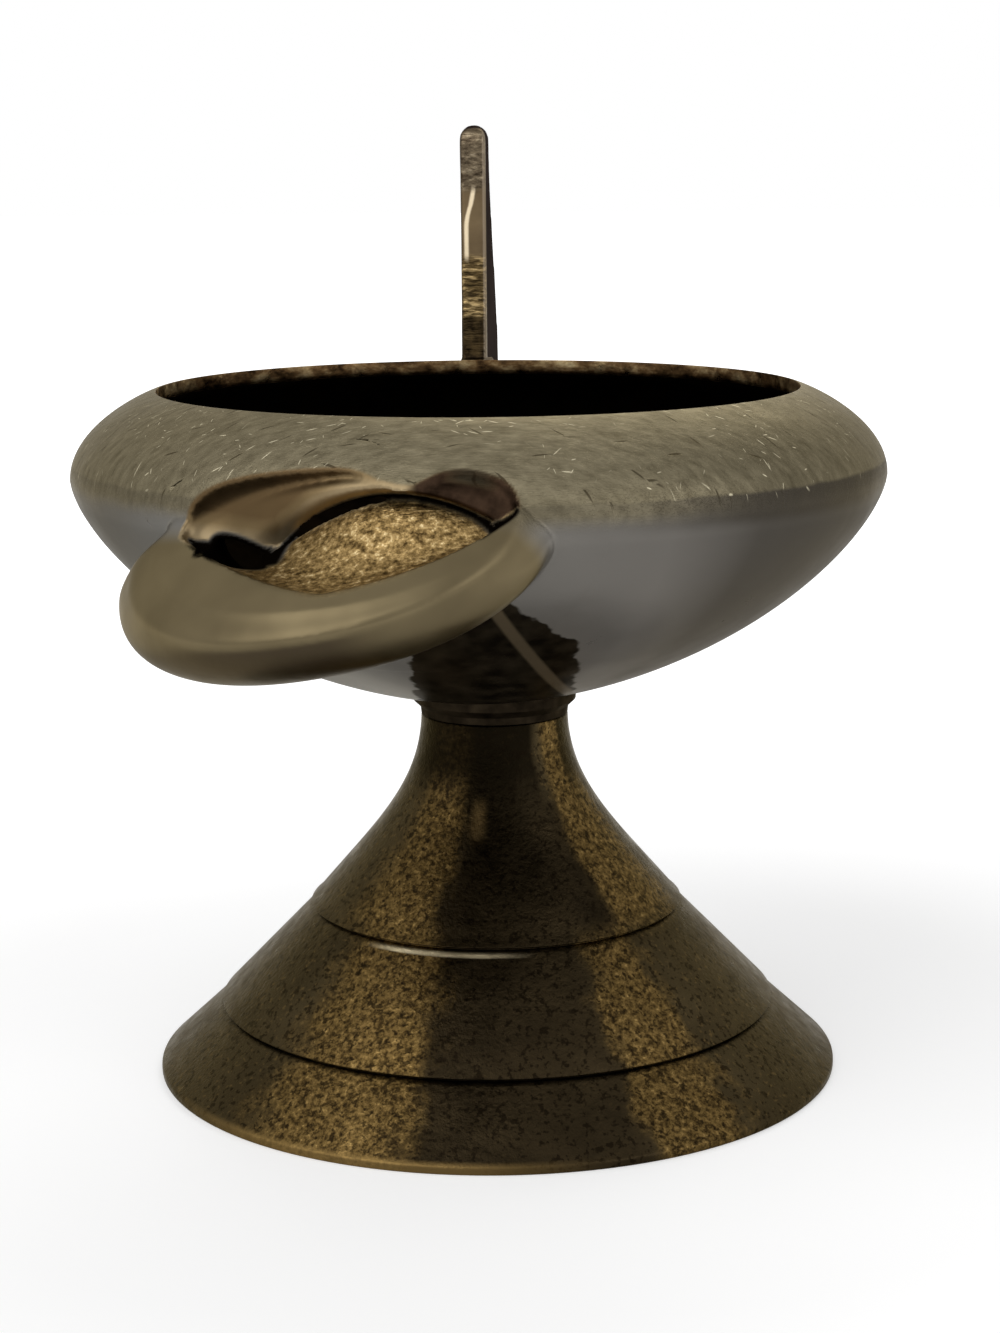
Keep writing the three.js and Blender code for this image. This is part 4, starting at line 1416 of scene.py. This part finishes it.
def masks_at(vertex):
    """What each mask says at one point of the nozzle."""
    out, across, up = to_nozzle @ vertex.co / MM
    facing = (to_nozzle.to_3x3() @ vertex.normal).normalized()
    height = height_over(wall_surface, vertex.co)[0]
    in_hollow = falls(*ON_WALL, distance_to(hollow_surface, vertex.co))
    over_slot = up - slot_height(across)
    above = rises(-0.1, 0.4, over_slot)
    straight_out = out + THROAT["bow"] * ((across - THROAT["shift"]) / THROAT["half"]) ** 2
    in_hole = falls(*HOLE_ACROSS, across) * falls(*HOLE_OUT, out)
    in_hole = max(in_hole * (1 - above), falls(0.4, 1.0, distance_to(hole_surface, vertex.co)))
    bowed_back = out - MOUTH["out"] + MOUTH["bow"] * (across / MOUTH["half"]) ** 2
    from_lip = bowed_back * math.cos(MOUTH_LEAN) + (up - MOUTH["up"] - 0.12 * across) * math.sin(MOUTH_LEAN)
    inside = rises(-0.1, 0.7, -from_lip)
    # the throat and the wick hole are black with soot; the crease and the band round the slot get painted
    # shade
    in_crease = falls(*ON_WALL, crease.find(vertex.co)[2] / MM)
    at_slot = falls(0.2, 0.65, abs(over_slot + 0.35))
    dark = in_hollow * max(falls(*THROAT_OUT, straight_out), in_hole * inside, in_crease, at_slot)
    roof = in_hollow * above * (1 - dark)
    # painted shade on the outside faces that turn down under the lip
    painted_under_shade = falls(-0.6, -0.25, facing.z) * rises(-1.0, -0.8, facing.z)
    return {
        "cast_floor": in_hollow * (1 - above) * (1 - dark) * inside,
        "soot_and_shade": max(dark, (1 - in_hollow) * falls(-1.6, -0.9, height)),
        "rubbed": rises(*RUBBED_HEIGHT, height),
        "painted_under_shade": (1 - in_hollow) * rises(1.0, 4.0, height) * painted_under_shade * falls(2.0, 9.0, across),
        "roof": roof,
        "high_up": min(1, max(0, over_slot / 4)),
        "facet": roof * rises(*FACET_ACROSS, across),
    }


values = [masks_at(vertex) for vertex in nozzle.data.vertices]
for key in values[0]:
    column = [at[key] for at in values]
    nozzle.data.attributes.new(key, "FLOAT", "POINT").data.foreach_set("value", column)
    print(key, "covers", round(100 * sum(column) / len(column)), "% of the nozzle")
for form in (hollow_form, hole_form, body_form, outer_form):
    bpy.data.objects.remove(form)

# %% Put the finishes on
SMOOTH_UP_TO = math.radians(40)
OUTSIDE, RIM, INSIDE = range(3)


def finish_with(thing, *materials):
    thing.data.materials.clear()
    for material in materials:
        thing.data.materials.append(material)
    only(thing)
    bpy.ops.object.shade_smooth_by_angle(angle=SMOOTH_UP_TO)


finish_with(foot, foot_finish)
finish_with(solder_ring, solder_finish)
finish_with(washer, solder_finish)
finish_with(handle, handle_finish)
finish_with(nozzle, nozzle_finish)
finish_with(reservoir, bowl_finish, rim_finish, soot_finish)
for face in reservoir.data.polygons:
    spot = face.center
    from_axis = Vector((spot.x, spot.y, 0)) - BOWL_AXIS
    radius = from_axis.length
    level = GIRTH_Z - spot.z
    outer = bulge(max(0, level), BOWL_DEPTH, BOWL_RADIUS, 0, DISH_UP, DISH_OUT)
    if level < 0:
        outer = bulge(-level, SHOULDER_RISE, BOWL_RADIUS, MOUTH_RADIUS, SHOULDER_UP, SHOULDER_OUT)
    if outer - radius > BOWL_WALL * 0.6 and spot.z > SEAT_Z + 1 * MM:
        face.material_index = INSIDE
    at_mouth = radius < MOUTH_RADIUS + 0.5 * MM and spot.z > RIM_Z - BOWL_WALL
    if at_mouth and face.normal.dot(from_axis) < 0:
        face.material_index = RIM
for name, index in (("outside", OUTSIDE), ("rim", RIM), ("inside", INSIDE)):
    print(name, sum(face.material_index == index for face in reservoir.data.polygons), "faces")

# %% [markdown]
# ## Stand in for the solids
# Each finer piece takes the place of the solid that it was made round. Nothing on this lamp moves, so all
# of them ride on the one body.

# %% Hand the pieces to the frame
STANDS_FOR = (
    (foot, ("foot",), "dark_brass"),
    (solder_ring, ("neck_solder",), "braze"),
    (washer, ("spigot_washer",), "braze"),
    (reservoir, ("bowl",), "grey_brass"),
    (nozzle, ("nozzle", "nozzle_braze"), "rubbed_brass"),
    (handle, ("handle", "handle_braze"), "brown_brass"),
)
for piece, nodes, slot in STANDS_FOR:
    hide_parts(*nodes)
    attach(piece, "root")
    print(piece.name, "stands for", ", ".join(nodes))
